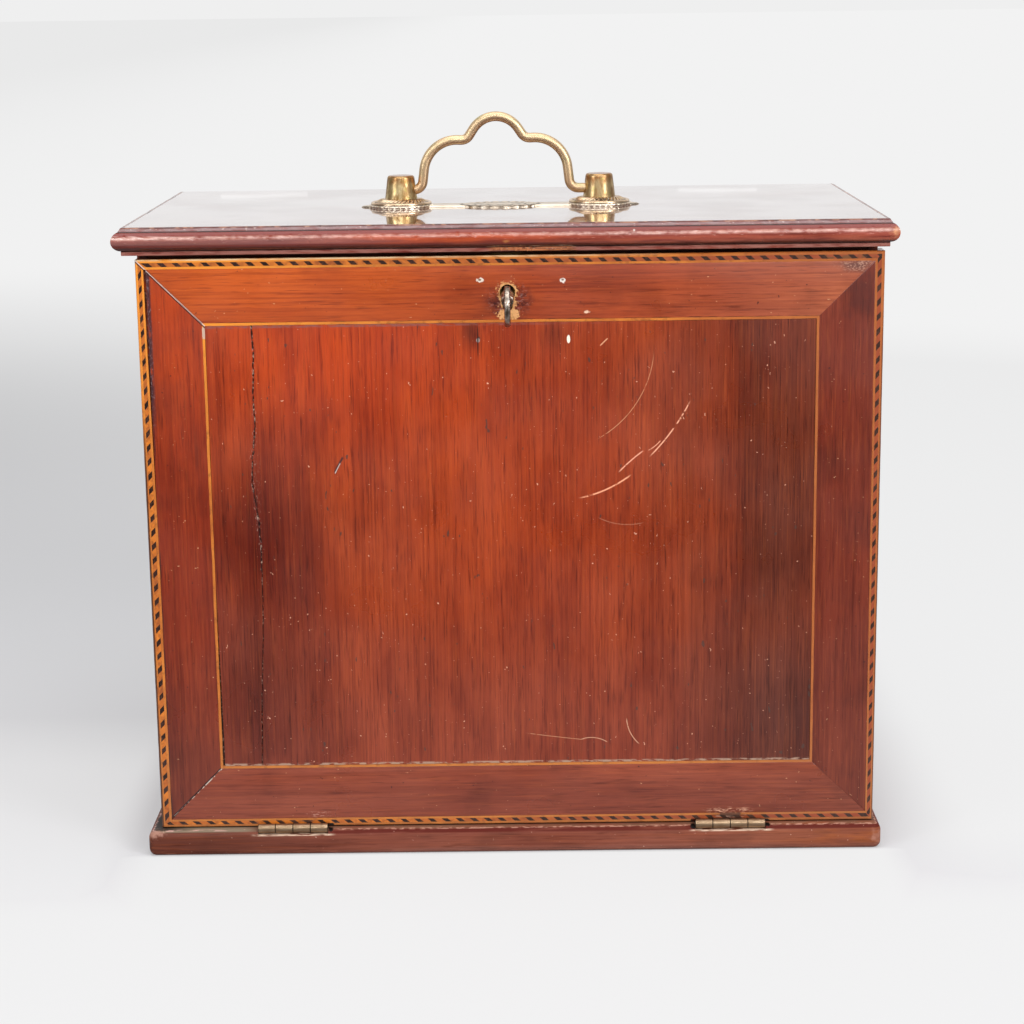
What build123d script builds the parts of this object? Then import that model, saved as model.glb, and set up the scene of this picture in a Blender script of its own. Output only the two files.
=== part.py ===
from build123d import *
import math
import os

# Desk letter box in mahogany: a case with a fixed moulded top, a fall front on two brass butts,
# a box lock with its key, a brass bail handle and an upright letter rack inside.
#
# Millimetres, +Z up. The origin is on the underside of the base board, midway across the case and
# midway between the front's outer face and the back. The front faces -Y.

# ---------------------------------------------------------------- driving dimensions
# Case
case_width = 340.8          # outside of the sides
case_depth = 190.0          # outer face of the fall front to the back
case_height = 301.2         # floor to the polished top
side_thickness = 10.0
back_thickness = 6.0
back_rebate = 5.0           # how far the back is let into each side
base_thickness = 12.7
base_overhang = 5.2         # past the sides and past the front
base_edge_round = 3.6
base_corner_round = 3.0
top_thickness = 12.7
moulding_projection = 5.6   # past the arris of the top board
top_overhang = 1.5          # arris of the top board past the right side and the front
top_left_overhang = 2.9     # and past the left side
moulding_fillet_step = 1.7  # flat under and over the half-round
moulding_top_step = 1.9     # arris to the top of the half-round
moulding_ledge = 1.1        # how far the top fillet slopes outwards
moulding_bottom_step = 2.1
moulding_arris = 0.4
rail_width = 20.0
rail_thickness = 12.0
rail_housing = 5.0          # how far each rail end is let into its side
rail_screw_setback = 61.0   # from the inside of each side

# Fall front
front_margin = 0.3          # past the case on each side
front_shift = 1.2           # the front hangs a little to the right of the case
front_thickness = 12.0
front_frame_width = 29.4    # each mitred member, banding included
front_top_gap = 2.2         # under the top board
front_bottom_gap = 0.4      # over the base board
front_back_gap = 0.3        # to the front edges of the sides
panel_thickness = 8.0
tongue_thickness = 3.5
tongue_width = 4.2
tongue_clearance = 0.1
banding_width = 4.8
banding_thickness = 1.0
stringing_width = 1.2
stringing_thickness = 1.6

# Letter rack
divider_thickness = 5.0
divider_groove = 3.0
divider_clearance = 0.1
divider_pitch = 40.0
fence_setback = 5.0         # fence to the inside of the fall front
divider_count = 3
fence_height = 48.0
divider_height = 118.0      # the front divider's
divider_rise = 46.0         # each divider over the one before it
dip_width = 96.0
dip_depth = 24.0

# Butt hinges
hinge_length = 33.5
hinge_spacing = 209.6       # centre to centre
hinge_shift = -1.4          # the pair sits a little to the left
leaf_thickness = 1.2
leaf_width = 11.5           # from the pin to the leaf's back edge
leaf_gap = 0.2              # between the two closed leaves
leaf_room = 0.15            # round a leaf in its recess
knuckle_radius = 2.2
knuckle_count = 4
knuckle_gap = 0.15
knuckle_clearance = 0.3
pin_radius = 1.0
pin_clearance = 0.06
hinge_screw_spacing = 18.0
hinge_screw_setback = 7.6   # behind the pin

# Box lock and key
lock_centre_drop = 16.9     # top edge of the front down to the drill pin
lock_depth = 7.6            # back of the fall front to the face of the lock's cap
lock_plate_thickness = 1.2
lock_sheet = 0.9
lock_half_width = 21.2
selvedge_length = 64.0
selvedge_cover = 2.0        # wood left in front of the selvedge
selvedge_thickness = 1.6
bolt_stroke = 5.5
bolt_head_width = 14.0
bolt_head_thickness = 3.6
bolt_tail_thickness = 2.2
bolt_tail_width = 40.0
bolt_foot = 1.7             # bar under the bolt's cut-out
bolt_clearance = 0.2
talon_play = 0.8            # between the key's bit and the bolt's cut-out
drill_pin_radius = 1.1
drill_pin_length = 8.5
key_shank_radius = 2.4
key_pipe_radius = 1.6
key_bit_radius = 7.5
key_bit_thickness = 2.2
key_bit_length = 3.6
key_play = 0.6              # round the key in the lock's cap
key_reach = 25.0            # middle of the bow in front of the fall front
bow_length = 19.0
bow_height = 18.4
bow_thickness = 2.7
bow_band = 3.3
key_rings = [(0.6, 13.0, 2.85)]     # a sleeve behind the bow: start, width, radius
key_ward_cut = 0.6
key_droop = 5.6             # degrees; the key hangs a little in the worn lock
keyhole_wear = 1.2          # round the key in the worn wood
strike_length = 30.0
strike_width = 11.0
strike_thickness = 1.0
strike_depth = 5.5

# Bail handle
handle_shift = -3.4         # the handle stands a little left of the middle
handle_y = -10.0            # and a little forward of it
post_spacing = 96.7
post_base_radius = 7.85
post_top_radius = 6.45
post_height = 11.15
post_edge_round = 1.4
pivot_height = 4.05         # pivot over the post's foot
stud_radius = 2.5
stud_clearance = 0.2
rosette_radius = 14.75
rosette_thickness = 2.7
plate_thickness = 0.8
plate_disc_rise = 0.65      # the discs under the rosettes stand this much higher
plate_strap = 13.0
plate_oval = (40.0, 25.0)
plate_border = 0.6          # round each rosette
plate_tip = 4.8             # leaf point past each rosette
bail_rod_radius = 2.35
bail_hole_clearance = 0.1
bail_foot_reach = 4.3       # post's face to the corner of the bail's leg
bail_leg_lean = 3.0         # leg's foot outside its head
bail_height = 35.2          # pivot to the middle of the rod at the crown
bail_shoulder_height = 24.4
bail_shoulder_rise = 0.5
bail_left_sag = 0.7         # the left shoulder has been bent down a little
bail_neck_width = 14.2
bail_neck_slope = 56.0      # degrees
bail_foot_bend = 4.5        # radius in the middle of the rod, and at the necks
bail_shoulder_bend = 16.0
bail_end_short = 1.2        # rod's end short of the middle of its post
bail_mouth_flare = 0.9      # the post's hole opens out at its mouth
bail_mouth_depth = 2.6
bail_hole_depth = 2.0       # hole's end past the middle of the post
bail_side_play = -1.9       # the bail sits to one side of its play
nut_width = 8.0
nut_height = 4.0
stud_showing = 1.5
thread_clearance = 0.05
washer_radius = 6.0
washer_thickness = 1.0

# Wood screws: head radius, shank radius, length over all
base_screw = (3.6, 1.9, 34.0)
rail_screw = (3.2, 1.6, 19.0)
hinge_screw = (2.3, 1.2, 9.0)
lock_screw = (2.1, 1.1, 9.0)
screw_clearance = 0.05
base_screw_sink = 0.4       # under the face of the base board
base_screw_end = 24.0       # from each end of the case's sides
slot_width = 0.8

# ---------------------------------------------------------------- places worked out from them
half_width = case_width / 2
front_y = -case_depth / 2
back_y = case_depth / 2
front_back_y = front_y + front_thickness
side_front_y = front_back_y + front_back_gap
front_half = half_width + front_margin
inside_back_y = back_y - back_thickness
base_top = base_thickness
top_underside = case_height - top_thickness
front_bottom = base_top + front_bottom_gap
front_top = top_underside - front_top_gap
inside_half = half_width - side_thickness
knuckle_room = knuckle_radius + knuckle_clearance
pin_y = front_y - knuckle_room
pin_z = (base_top + front_bottom) / 2
key_z = front_top - lock_centre_drop
lock_front_y = front_back_y - lock_depth
lock_plate_y = front_back_y - lock_plate_thickness
bit_corner = math.hypot(key_bit_radius, key_bit_thickness / 2)
cut_floor = key_z - bit_corner - talon_play
tail_floor = cut_floor - bolt_foot
lock_floor_z = tail_floor - bolt_clearance - lock_sheet
selvedge_floor = front_top - selvedge_thickness
bolt_y = (lock_front_y + lock_sheet + lock_plate_y) / 2
post_foot_z = case_height + plate_thickness + plate_disc_rise + rosette_thickness
pivot_z = post_foot_z + pivot_height
pivot_height_over_top = pivot_z - case_height

parts_made = {}


def block(x0, x1, y0, y1, z0, z1):
    """A box between two corners."""
    size = (x1 - x0, y1 - y0, z1 - z0)
    return Pos((x0 + x1) / 2, (y0 + y1) / 2, (z0 + z1) / 2) * Box(*size)


def rod_x(radius, x0, x1, y, z):
    """A cylinder along X."""
    return Pos((x0 + x1) / 2, y, z) * Rot(0, 90, 0) * Cylinder(radius, x1 - x0)


def rod_y(radius, y0, y1, x, z):
    """A cylinder along Y."""
    return Pos(x, (y0 + y1) / 2, z) * Rot(90, 0, 0) * Cylinder(radius, y1 - y0)


def rod_z(radius, z0, z1, x, y):
    """A cylinder along Z."""
    return Pos(x, y, (z0 + z1) / 2) * Cylinder(radius, z1 - z0)


def plate_xz(points, y0, y1):
    """An outline in the XZ plane, y0 to y1 thick."""
    outline = Polyline(*[(x, y0, z) for x, z in points], close=True)
    return extrude(make_face(outline), amount=y1 - y0, dir=(0, 1, 0))


def keep(name, *shapes):
    """Notes the finished solids of one node."""
    solids = [solid for shape in shapes for solid in shape.solids()]
    parts_made[name] = solids[0] if len(solids) == 1 else Compound(children=solids)


def screw(size, extra=0.0, slotted=True):
    """A countersunk wood screw, head face at z=0, point down; extra makes it a clearance tool."""
    head, shank, length = size
    head, shank = head + extra, shank + extra
    head_depth = head - shank
    point = shank * 1.6
    outline = Polyline(
        (0, 0, 0),
        (head, 0, 0),
        (shank, 0, -head_depth),
        (shank, 0, -(length - point)),
        (0, 0, -length - extra),
        close=True,
    )
    body = revolve(make_face(outline), Axis.Z)
    if slotted:
        depth = head_depth * 0.5
        body -= Pos(0, 0, -depth / 2) * Box(slot_width, 3 * head, depth)
    return body


def screw_hole(size):
    """The hole that a screw fills."""
    return screw(size, extra=screw_clearance, slotted=False)


# ---------------------------------------------------------------- base board
base_half = half_width + base_overhang
base_front_y = front_y - base_overhang
base = block(-base_half, base_half, base_front_y, back_y, 0, base_top)
front_corners = base.edges().filter_by(Axis.Z).filter_by(lambda e: e.center().Y < 0)
base = fillet(front_corners, base_corner_round)
round_edges = base.edges().filter_by(
    lambda e: e.center().Y < back_y - 1 and (e.center().Z < 0.01 or e.center().Z > base_top - 0.01)
)
base = fillet(round_edges, base_edge_round)

side_centre = half_width - side_thickness / 2
base_screw_ys = [side_front_y + base_screw_end, (side_front_y + back_y) / 2, back_y - base_screw_end]
base_screw_places = [
    Pos(side * side_centre, y, base_screw_sink) * Rot(180, 0, 0)
    for side in (-1, 1)
    for y in base_screw_ys
]
for place in base_screw_places:
    base -= place * screw_hole(base_screw)
    base -= Pos(place.position.X, place.position.Y, 0) * Cylinder(base_screw[0], 2 * base_screw_sink)

# ---------------------------------------------------------------- butt hinges
knuckle_length = hinge_length / knuckle_count
hinge_centres = {"left": hinge_shift - hinge_spacing / 2, "right": hinge_shift + hinge_spacing / 2}
leaf_back_y = pin_y + leaf_width
hinge_screw_y = pin_y + hinge_screw_setback
front_leaf_z = (pin_z + leaf_gap / 2, pin_z + leaf_gap / 2 + leaf_thickness)
base_leaf_z = (pin_z - leaf_gap / 2 - leaf_thickness, pin_z - leaf_gap / 2)


def hinge_leaf(centre, z_span, own):
    """One leaf with its knuckles: own is 0 for the first and third, 1 for the second and fourth."""
    start = centre - hinge_length / 2
    leaf = block(start, start + hinge_length, pin_y, leaf_back_y, *z_span)
    for n in range(knuckle_count):
        x0 = start + n * knuckle_length + knuckle_gap / 2
        x1 = start + (n + 1) * knuckle_length - knuckle_gap / 2
        if n % 2 == own:
            leaf += rod_x(knuckle_radius, x0, x1, pin_y, pin_z)
        else:
            leaf -= rod_x(knuckle_room, x0 - knuckle_gap, x1 + knuckle_gap, pin_y, pin_z)
    leaf -= rod_x(pin_radius + pin_clearance, start - 1, start + hinge_length + 1, pin_y, pin_z)
    return leaf


front_leaf_screws = []
base_leaf_screws = []
front_leaf_holes = []
front_leaf_recesses = []
for name, centre in hinge_centres.items():
    base_leaf = hinge_leaf(centre, base_leaf_z, 0)
    front_leaf = hinge_leaf(centre, front_leaf_z, 1)
    for side in (-0.5, 0.5):
        x = centre + side * hinge_screw_spacing
        down = Pos(x, hinge_screw_y, base_leaf_z[1])
        up = Pos(x, hinge_screw_y, front_leaf_z[0]) * Rot(180, 0, 0)
        base_leaf_screws.append(down * screw(hinge_screw))
        front_leaf_screws.append(up * screw(hinge_screw))
        base_leaf -= down * screw_hole(hinge_screw)
        front_leaf -= up * screw_hole(hinge_screw)
        base -= down * screw_hole(hinge_screw)
        front_leaf_holes.append(up * screw_hole(hinge_screw))
    mortise_x = (centre - hinge_length / 2 - leaf_room, centre + hinge_length / 2 + leaf_room)
    mortise_back_y = leaf_back_y + leaf_room
    base -= block(*mortise_x, base_front_y - 1, mortise_back_y, base_leaf_z[0], base_top + 1)
    base -= block(*mortise_x, base_front_y - 1, pin_y + knuckle_room, pin_z - knuckle_room, base_top + 1)
    front_leaf_recesses.append(
        block(*mortise_x, front_y - 1, mortise_back_y, front_bottom - 1, front_leaf_z[1]))
    keep(f"hinge_{name}_base_leaf", base_leaf)
    keep(f"hinge_{name}_front_leaf", front_leaf)
    pin_half = hinge_length / 2
    keep(f"hinge_{name}_pin", rod_x(pin_radius, centre - pin_half, centre + pin_half, pin_y, pin_z))
keep("hinge_base_screws", *base_leaf_screws)
keep("hinge_front_screws", *front_leaf_screws)

# ---------------------------------------------------------------- sides, back and rails
rack_floor = base_top
rack_heights = [fence_height] + [divider_height + n * divider_rise for n in range(divider_count)]
rack_places = []            # (front face, back face, height) of the fence and each divider
for n, height in enumerate(rack_heights):
    y0 = side_front_y + fence_setback + n * divider_pitch
    rack_places.append((y0, y0 + divider_thickness, height))

front_rail_y = (side_front_y, side_front_y + rail_width)
back_rail_y = (inside_back_y - rail_width, inside_back_y)
rail_z = (top_underside - rail_thickness, top_underside)
rail_half = inside_half + rail_housing


def case_side(hand):
    """One side: rebated for the back, grooved for the rack and housed for the rails."""
    inner, outer = sorted((hand * inside_half, hand * half_width))
    side = block(inner, outer, side_front_y, back_y, base_top, top_underside)
    back_half = inside_half + back_rebate
    side -= block(-back_half, back_half, inside_back_y, back_y + 1, base_top - 1, top_underside + 1)
    groove_half = inside_half + divider_groove
    for y0, y1, height in rack_places:
        side -= block(-groove_half, groove_half, y0 - divider_clearance, y1 + divider_clearance,
                      base_top - 1, rack_floor + height)
    for y0, y1 in (front_rail_y, back_rail_y):
        side -= block(-rail_half, rail_half, y0, y1, rail_z[0], top_underside + 1)
    for place in base_screw_places:
        side -= place * screw_hole(base_screw)
    return side


keep("side_left", case_side(-1))
keep("side_right", case_side(1))
back_half = inside_half + back_rebate
keep("back_panel", block(-back_half, back_half, inside_back_y, back_y, base_top, top_underside))
keep("base_board", base)
keep("base_screws", *[place * screw(base_screw) for place in base_screw_places])

rail_screw_x = inside_half - rail_screw_setback
rail_screw_places = {}
for name, (y0, y1) in {"front": front_rail_y, "back": back_rail_y}.items():
    rail = block(-rail_half, rail_half, y0, y1, *rail_z)
    places = [Pos(side * rail_screw_x, (y0 + y1) / 2, rail_z[0]) * Rot(180, 0, 0) for side in (-1, 1)]
    for place in places:
        rail -= place * screw_hole(rail_screw)
    rail_screw_places[name] = places
    keep(f"top_rail_{name}", rail)
all_rail_screws = [place for places in rail_screw_places.values() for place in places]
keep("top_rail_screws", *[place * screw(rail_screw) for place in all_rail_screws])

# ---------------------------------------------------------------- letter rack
def rack_board(y0, y1, height, dipped):
    """One upright board of the rack, its top edge dipped in the middle for the fingers."""
    half = inside_half + divider_groove - divider_clearance
    board = block(-half, half, y0, y1, rack_floor, rack_floor + height - divider_clearance)
    if dipped:
        radius = (dip_width ** 2 / 4 + dip_depth ** 2) / (2 * dip_depth)
        centre_z = rack_floor + height - dip_depth + radius
        board -= rod_y(radius, y0 - 1, y1 + 1, 0, centre_z)
    return board


keep("rack_fence", rack_board(*rack_places[0], dipped=False))
for n, place in enumerate(rack_places[1:], start=1):
    keep(f"rack_divider_{n}", rack_board(*place, dipped=True))

# ---------------------------------------------------------------- top board and its moulding
arris_xs = {-1: -half_width - top_left_overhang, 1: half_width + top_overhang}
arris_front_y = front_y - top_overhang
top = block(arris_xs[-1], arris_xs[1], arris_front_y, back_y, top_underside, case_height)
for place in all_rail_screws:
    top -= place * screw_hole(rail_screw)

round_top = case_height - moulding_top_step
round_bottom = top_underside + moulding_bottom_step
round_middle = (round_top + round_bottom) / 2


def moulding_face():
    """The edge moulding's section at the origin: +X is outwards and Z is the real height."""
    step = moulding_fillet_step
    corner = step - moulding_arris
    section = Polyline(
        (step, 0, round_bottom),
        (step, 0, top_underside),
        (0, 0, top_underside),
        (0, 0, case_height),
        (corner, 0, case_height),
        (step, 0, case_height - moulding_arris),
        (step + moulding_ledge, 0, round_top),
    )
    nose_middle = (moulding_projection, 0, round_middle)
    nose = ThreePointArc((step + moulding_ledge, 0, round_top), nose_middle, (step, 0, round_bottom))
    return make_face(section + nose)


def moulding_strip(length):
    """A straight length of the moulding along +Y, its outer side towards +X."""
    return extrude(moulding_face(), amount=length, dir=(0, 1, 0))


reach = 2 * moulding_projection
front_length = arris_xs[1] - arris_xs[-1] + 2 * reach
front_strip = Pos(arris_xs[-1] - reach, arris_front_y, 0) * Rot(0, 0, -90) * moulding_strip(front_length)
side_strip = Pos(arris_xs[1], arris_front_y - reach, 0) * moulding_strip(back_y - arris_front_y + reach)


def mitre_wedge(hand):
    """The space on the side strip's half of the front corner's mitre."""
    x, y = arris_xs[hand], arris_front_y
    far_x, far_y = x + hand * 3 * reach, y - 3 * reach
    outline = Polyline((x, y, 0), (far_x, far_y, 0), (far_x, back_y + 1, 0), (x, back_y + 1, 0), close=True)
    return extrude(make_face(outline), amount=case_height + 10, dir=(0, 0, 1))


for hand in (-1, 1):
    front_strip -= mitre_wedge(hand)
right_strip = side_strip & mitre_wedge(1)
keep("top_moulding_front", front_strip)
keep("top_moulding_right", right_strip)
keep("top_moulding_left", Pos(arris_xs[-1] + arris_xs[1], 0, 0) * mirror(right_strip, Plane.YZ))

# ---------------------------------------------------------------- fall front
front_frame = (front_shift - front_half, front_shift + front_half, front_bottom, front_top)


def ring_side(where, outer, inner, y0, y1):
    """One mitred side of a rectangular ring; outer and inner are insets from the front's edge."""
    x0, x1, z0, z1 = front_frame
    a, b = outer, inner
    points = {
        "bottom": [(x0 + a, z0 + a), (x1 - a, z0 + a), (x1 - b, z0 + b), (x0 + b, z0 + b)],
        "top": [(x0 + b, z1 - b), (x1 - b, z1 - b), (x1 - a, z1 - a), (x0 + a, z1 - a)],
        "left": [(x0 + a, z0 + a), (x0 + b, z0 + b), (x0 + b, z1 - b), (x0 + a, z1 - a)],
        "right": [(x1 - b, z0 + b), (x1 - a, z0 + a), (x1 - a, z1 - a), (x1 - b, z1 - b)],
    }[where]
    return plate_xz(points, y0, y1)


def inset_block(inset, y0, y1):
    """The whole rectangle inside an inset from the front's edge."""
    x0, x1, z0, z1 = front_frame
    return block(x0 + inset, x1 - inset, y0, y1, z0 + inset, z1 - inset)


panel_back_y = front_y + panel_thickness
tongue_y = (panel_back_y - tongue_thickness, panel_back_y)
stringing_back_y = front_y + stringing_thickness
banding_back_y = front_y + banding_thickness
groove_inset = front_frame_width - tongue_width
panel = inset_block(front_frame_width + stringing_width, front_y, stringing_back_y)
panel += inset_block(front_frame_width, stringing_back_y, panel_back_y)
panel += inset_block(groove_inset + tongue_clearance, *tongue_y)

member_names = {
    "top": "front_rail_top",
    "bottom": "front_rail_bottom",
    "left": "front_stile_left",
    "right": "front_stile_right",
}
members, banding, stringing = {}, {}, {}
line_inset = front_frame_width + stringing_width
for where in member_names:
    member = ring_side(where, 0, front_frame_width, front_y, front_back_y)
    member -= ring_side(where, -1, banding_width, front_y - 1, banding_back_y)
    member -= inset_block(groove_inset, tongue_y[0] - tongue_clearance, tongue_y[1] + tongue_clearance)
    members[where] = member
    banding[where] = ring_side(where, 0, banding_width, front_y, banding_back_y)
    stringing[where] = ring_side(where, front_frame_width, line_inset, front_y, stringing_back_y)
for cut in front_leaf_recesses:
    members["bottom"] -= cut
    banding["bottom"] -= cut
for hole in front_leaf_holes:
    members["bottom"] -= hole
keep("rope_banding", *banding.values())
keep("boxwood_stringing", *stringing.values())

# ---------------------------------------------------------------- box lock
lock_room = 0.1
pocket = block(-lock_half_width - lock_room, lock_half_width + lock_room,
               lock_front_y, front_back_y + 1, lock_floor_z - lock_room, front_top + 1)
selvedge_y = (front_y + selvedge_cover, front_back_y)
selvedge_pocket = block(-selvedge_length / 2 - lock_room, selvedge_length / 2 + lock_room,
                        selvedge_y[0] - lock_room, front_back_y + 1, selvedge_floor, front_top + 1)


def keyhole(radius, slot, depth, y0, y1):
    """A round hole with a slot below it, through y0 to y1."""
    hole = rod_y(radius, y0, y1, 0, key_z)
    hole += block(-slot / 2, slot / 2, y0, y1, key_z - depth + slot / 2, key_z)
    return hole + rod_y(slot / 2, y0, y1, 0, key_z - depth + slot / 2)


wood_keyhole = keyhole(key_shank_radius + keyhole_wear, key_bit_thickness + 2 * keyhole_wear,
                       key_bit_radius + keyhole_wear, front_y - 1, lock_front_y + 1)
lock_screw_x = selvedge_length / 2 - 4.5
lock_screw_places = [Pos(s * lock_screw_x, (selvedge_y[0] + selvedge_y[1]) / 2, front_top) for s in (-1, 1)]
members["top"] -= pocket + selvedge_pocket + wood_keyhole
panel -= pocket

lock_x = (-lock_half_width, lock_half_width)
lock_plate = block(*lock_x, lock_plate_y, front_back_y, lock_floor_z, selvedge_floor)
selvedge = block(-selvedge_length / 2, selvedge_length / 2, *selvedge_y, selvedge_floor, front_top)
bolt_slot_x = bolt_head_width / 2 + bolt_clearance
bolt_slot_y = bolt_head_thickness / 2 + bolt_clearance
bolt_slot = (-bolt_slot_x, bolt_slot_x, bolt_y - bolt_slot_y, bolt_y + bolt_slot_y)
selvedge -= block(*bolt_slot, selvedge_floor - 1, front_top + 1)
for place in lock_screw_places:
    selvedge -= place * screw_hole(lock_screw)
    members["top"] -= place * screw_hole(lock_screw)
lock_plate += selvedge
lock_plate -= rod_y(drill_pin_radius, lock_plate_y - 1, front_back_y + 1, 0, key_z)
keep("lock_plate", lock_plate)
keep("lock_screws", *[place * screw(lock_screw) for place in lock_screw_places])
keep("lock_drill_pin", rod_y(drill_pin_radius, front_back_y - drill_pin_length, front_back_y, 0, key_z))

cap_inside = lock_half_width - lock_sheet
cap_inside_z = (lock_floor_z + lock_sheet, selvedge_floor + 1)
cap = block(*lock_x, lock_front_y, lock_plate_y, lock_floor_z, selvedge_floor)
cap -= block(-cap_inside, cap_inside, lock_front_y + lock_sheet, lock_plate_y + 1, *cap_inside_z)
cap -= keyhole(key_shank_radius + key_play, key_bit_thickness + 2 * key_play, key_bit_radius + key_play,
               lock_front_y - 1, lock_front_y + lock_sheet + 1)
keep("lock_cap", cap)

bolt_top = front_top - bolt_clearance
bolt_shoulder = key_z + bit_corner
talon_z = key_z + bit_corner - bolt_stroke + talon_play
cut_half = bit_corner + talon_play / 2
tail_half = min(bolt_tail_width / 2, cap_inside - bolt_clearance)


def bolt_block(half, thickness, z0, z1):
    """A piece of the bolt, centred on its plane."""
    return block(-half, half, bolt_y - thickness / 2, bolt_y + thickness / 2, z0, z1)


bolt = bolt_block(bolt_head_width / 2, bolt_head_thickness, bolt_shoulder - 3, bolt_top)
bolt += bolt_block(tail_half, bolt_tail_thickness, tail_floor, bolt_shoulder)
bolt -= bolt_block(cut_half, 2 * bolt_head_thickness, cut_floor, talon_z)
keep("lock_bolt", bolt)

# Strike plate and its mortise in the top board
strike_x = (-strike_length / 2, strike_length / 2)
strike_y = (bolt_y - strike_width / 2, bolt_y + strike_width / 2)
strike_z = (top_underside, top_underside + strike_thickness)
strike_slot_x = bolt_slot_x + bolt_clearance
strike_slot_y = bolt_slot_y + bolt_clearance
strike_slot = (-strike_slot_x, strike_slot_x, bolt_y - strike_slot_y, bolt_y + strike_slot_y)
strike = block(*strike_x, *strike_y, *strike_z)
strike -= block(*strike_slot, strike_z[0] - 1, strike_z[1] + 1)
top -= block(*strike_x, *strike_y, top_underside - 1, strike_z[1])
top -= block(*strike_slot, top_underside - 1, top_underside + strike_depth)
strike_screws = []
for side in (-1, 1):
    x = side * (strike_length / 2 + strike_slot_x) / 2
    place = Pos(x, bolt_y, top_underside) * Rot(180, 0, 0)
    strike -= place * screw_hole(lock_screw)
    top -= place * screw_hole(lock_screw)
    strike_screws.append(place * screw(lock_screw))
keep("strike_plate", strike)
keep("strike_screws", *strike_screws)
keep("front_panel", panel)
for where, member in members.items():
    keep(member_names[where], member)

# ---------------------------------------------------------------- key
key_tip_y = lock_plate_y - 0.4
bow_centre_y = front_y - key_reach
bow_back_y = bow_centre_y + bow_length / 2
shank_end_y = bow_back_y - bow_band / 2


def key_solid():
    """A pipe key, its bow on edge: bit down, shank along Y."""
    key = rod_y(key_shank_radius, shank_end_y, key_tip_y, 0, key_z)
    for start, width, radius in key_rings:
        ring = rod_y(radius, bow_back_y + start, bow_back_y + start + width, 0, key_z)
        key += fillet(ring.edges().filter_by(GeomType.CIRCLE), 0.45)
    bow = Ellipse(bow_length / 2, bow_height / 2)
    bow -= Ellipse(bow_length / 2 - bow_band, bow_height / 2 - bow_band)
    bow = extrude(Plane.YZ * bow, amount=bow_thickness / 2, both=True)
    key += Pos(0, bow_centre_y, key_z) * fillet(bow.edges(), 0.32 * bow_thickness)
    half = key_bit_thickness / 2
    bit_y = (bolt_y - key_bit_length / 2, bolt_y + key_bit_length / 2)
    ward_y = (bolt_y - key_ward_cut / 2, bolt_y + key_ward_cut / 2)
    key += block(-half, half, *bit_y, key_z - key_bit_radius, key_z - key_shank_radius / 2)
    key -= block(-2 * half, 2 * half, *ward_y, key_z - 2 * key_bit_radius, key_z - 0.75 * key_bit_radius)
    return key - rod_y(key_pipe_radius, key_tip_y - drill_pin_length - 1, key_tip_y + 1, 0, key_z)


lean = Pos(0, bolt_y, key_z) * Rot(key_droop, 0, 0) * Pos(0, -bolt_y, -key_z)
keep("key", lean * key_solid())

# ---------------------------------------------------------------- bail handle on the top
post_xs = {"left": handle_shift - post_spacing / 2, "right": handle_shift + post_spacing / 2}
stud_hole = stud_radius + stud_clearance
nut_top = top_underside - washer_thickness
stud_foot = nut_top - nut_height - stud_showing


def backplate():
    """The long stamped plate: a middle oval, straps, two discs and pointed tips."""
    middle = Pos(handle_shift, 0) * Ellipse(plate_oval[0] / 2, plate_oval[1] / 2)
    outline = middle + Pos(handle_shift, 0) * Rectangle(post_spacing, plate_strap)
    for hand, x in ((-1, post_xs["left"]), (1, post_xs["right"])):
        outline += Pos(x, 0) * Circle(rosette_radius + plate_border)
        root, point = x + hand * (rosette_radius - 3), x + hand * (rosette_radius + plate_tip)
        tip = [(root, -plate_strap / 2), (point, 0), (root, plate_strap / 2)]
        outline += make_face(Polyline(*tip, close=True))
        outline -= Pos(x, 0) * Circle(stud_hole)
    plate = extrude(outline, amount=plate_thickness)
    for x in post_xs.values():
        disc = Circle(rosette_radius + plate_border) - Circle(stud_hole)
        plate += Pos(x, 0) * extrude(disc, amount=plate_thickness + plate_disc_rise)
    return Pos(0, handle_y, case_height) * plate


def rosette(x):
    """A low cast rose with a flat rim, a rounded shoulder and a flat seat for the post."""
    seat = post_base_radius + 1.5
    rim = rosette_thickness / 3
    foot = case_height + plate_thickness + plate_disc_rise
    shoulder = ((rosette_radius + seat) / 2, 0, foot + 0.82 * rosette_thickness)
    outline = Polyline(
        (seat, 0, post_foot_z),
        (0, 0, post_foot_z),
        (0, 0, foot),
        (rosette_radius, 0, foot),
        (rosette_radius, 0, foot + rim),
    ) + ThreePointArc((rosette_radius, 0, foot + rim), shoulder, (seat, 0, post_foot_z))
    body = revolve(make_face(outline), Axis.Z)
    return Pos(x, handle_y, 0) * (body - rod_z(stud_hole, foot - 1, post_foot_z + 1, 0, 0))


def post(hand):
    """A tapered post with its stud, bored blind on the inner side for the bail's end."""
    cone = Pos(0, 0, post_foot_z + post_height / 2) * Cone(post_base_radius, post_top_radius, post_height)
    cone = fillet(cone.edges().sort_by(Axis.Z)[-1], post_edge_round)
    cone += rod_z(stud_radius, stud_foot, post_foot_z + 1, 0, 0)
    hole_radius = bail_rod_radius + bail_hole_clearance
    inner, deep = sorted((-hand * (post_base_radius + 2), hand * bail_hole_depth))
    cone -= rod_x(hole_radius, inner, deep, 0, pivot_z)
    mouth = Cone(hole_radius, hole_radius + bail_mouth_flare, bail_mouth_depth)
    mouth_x = post_base_radius - bail_mouth_depth / 2
    return cone - Pos(-hand * mouth_x, 0, pivot_z) * Rot(0, -hand * 90, 0) * mouth


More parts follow.
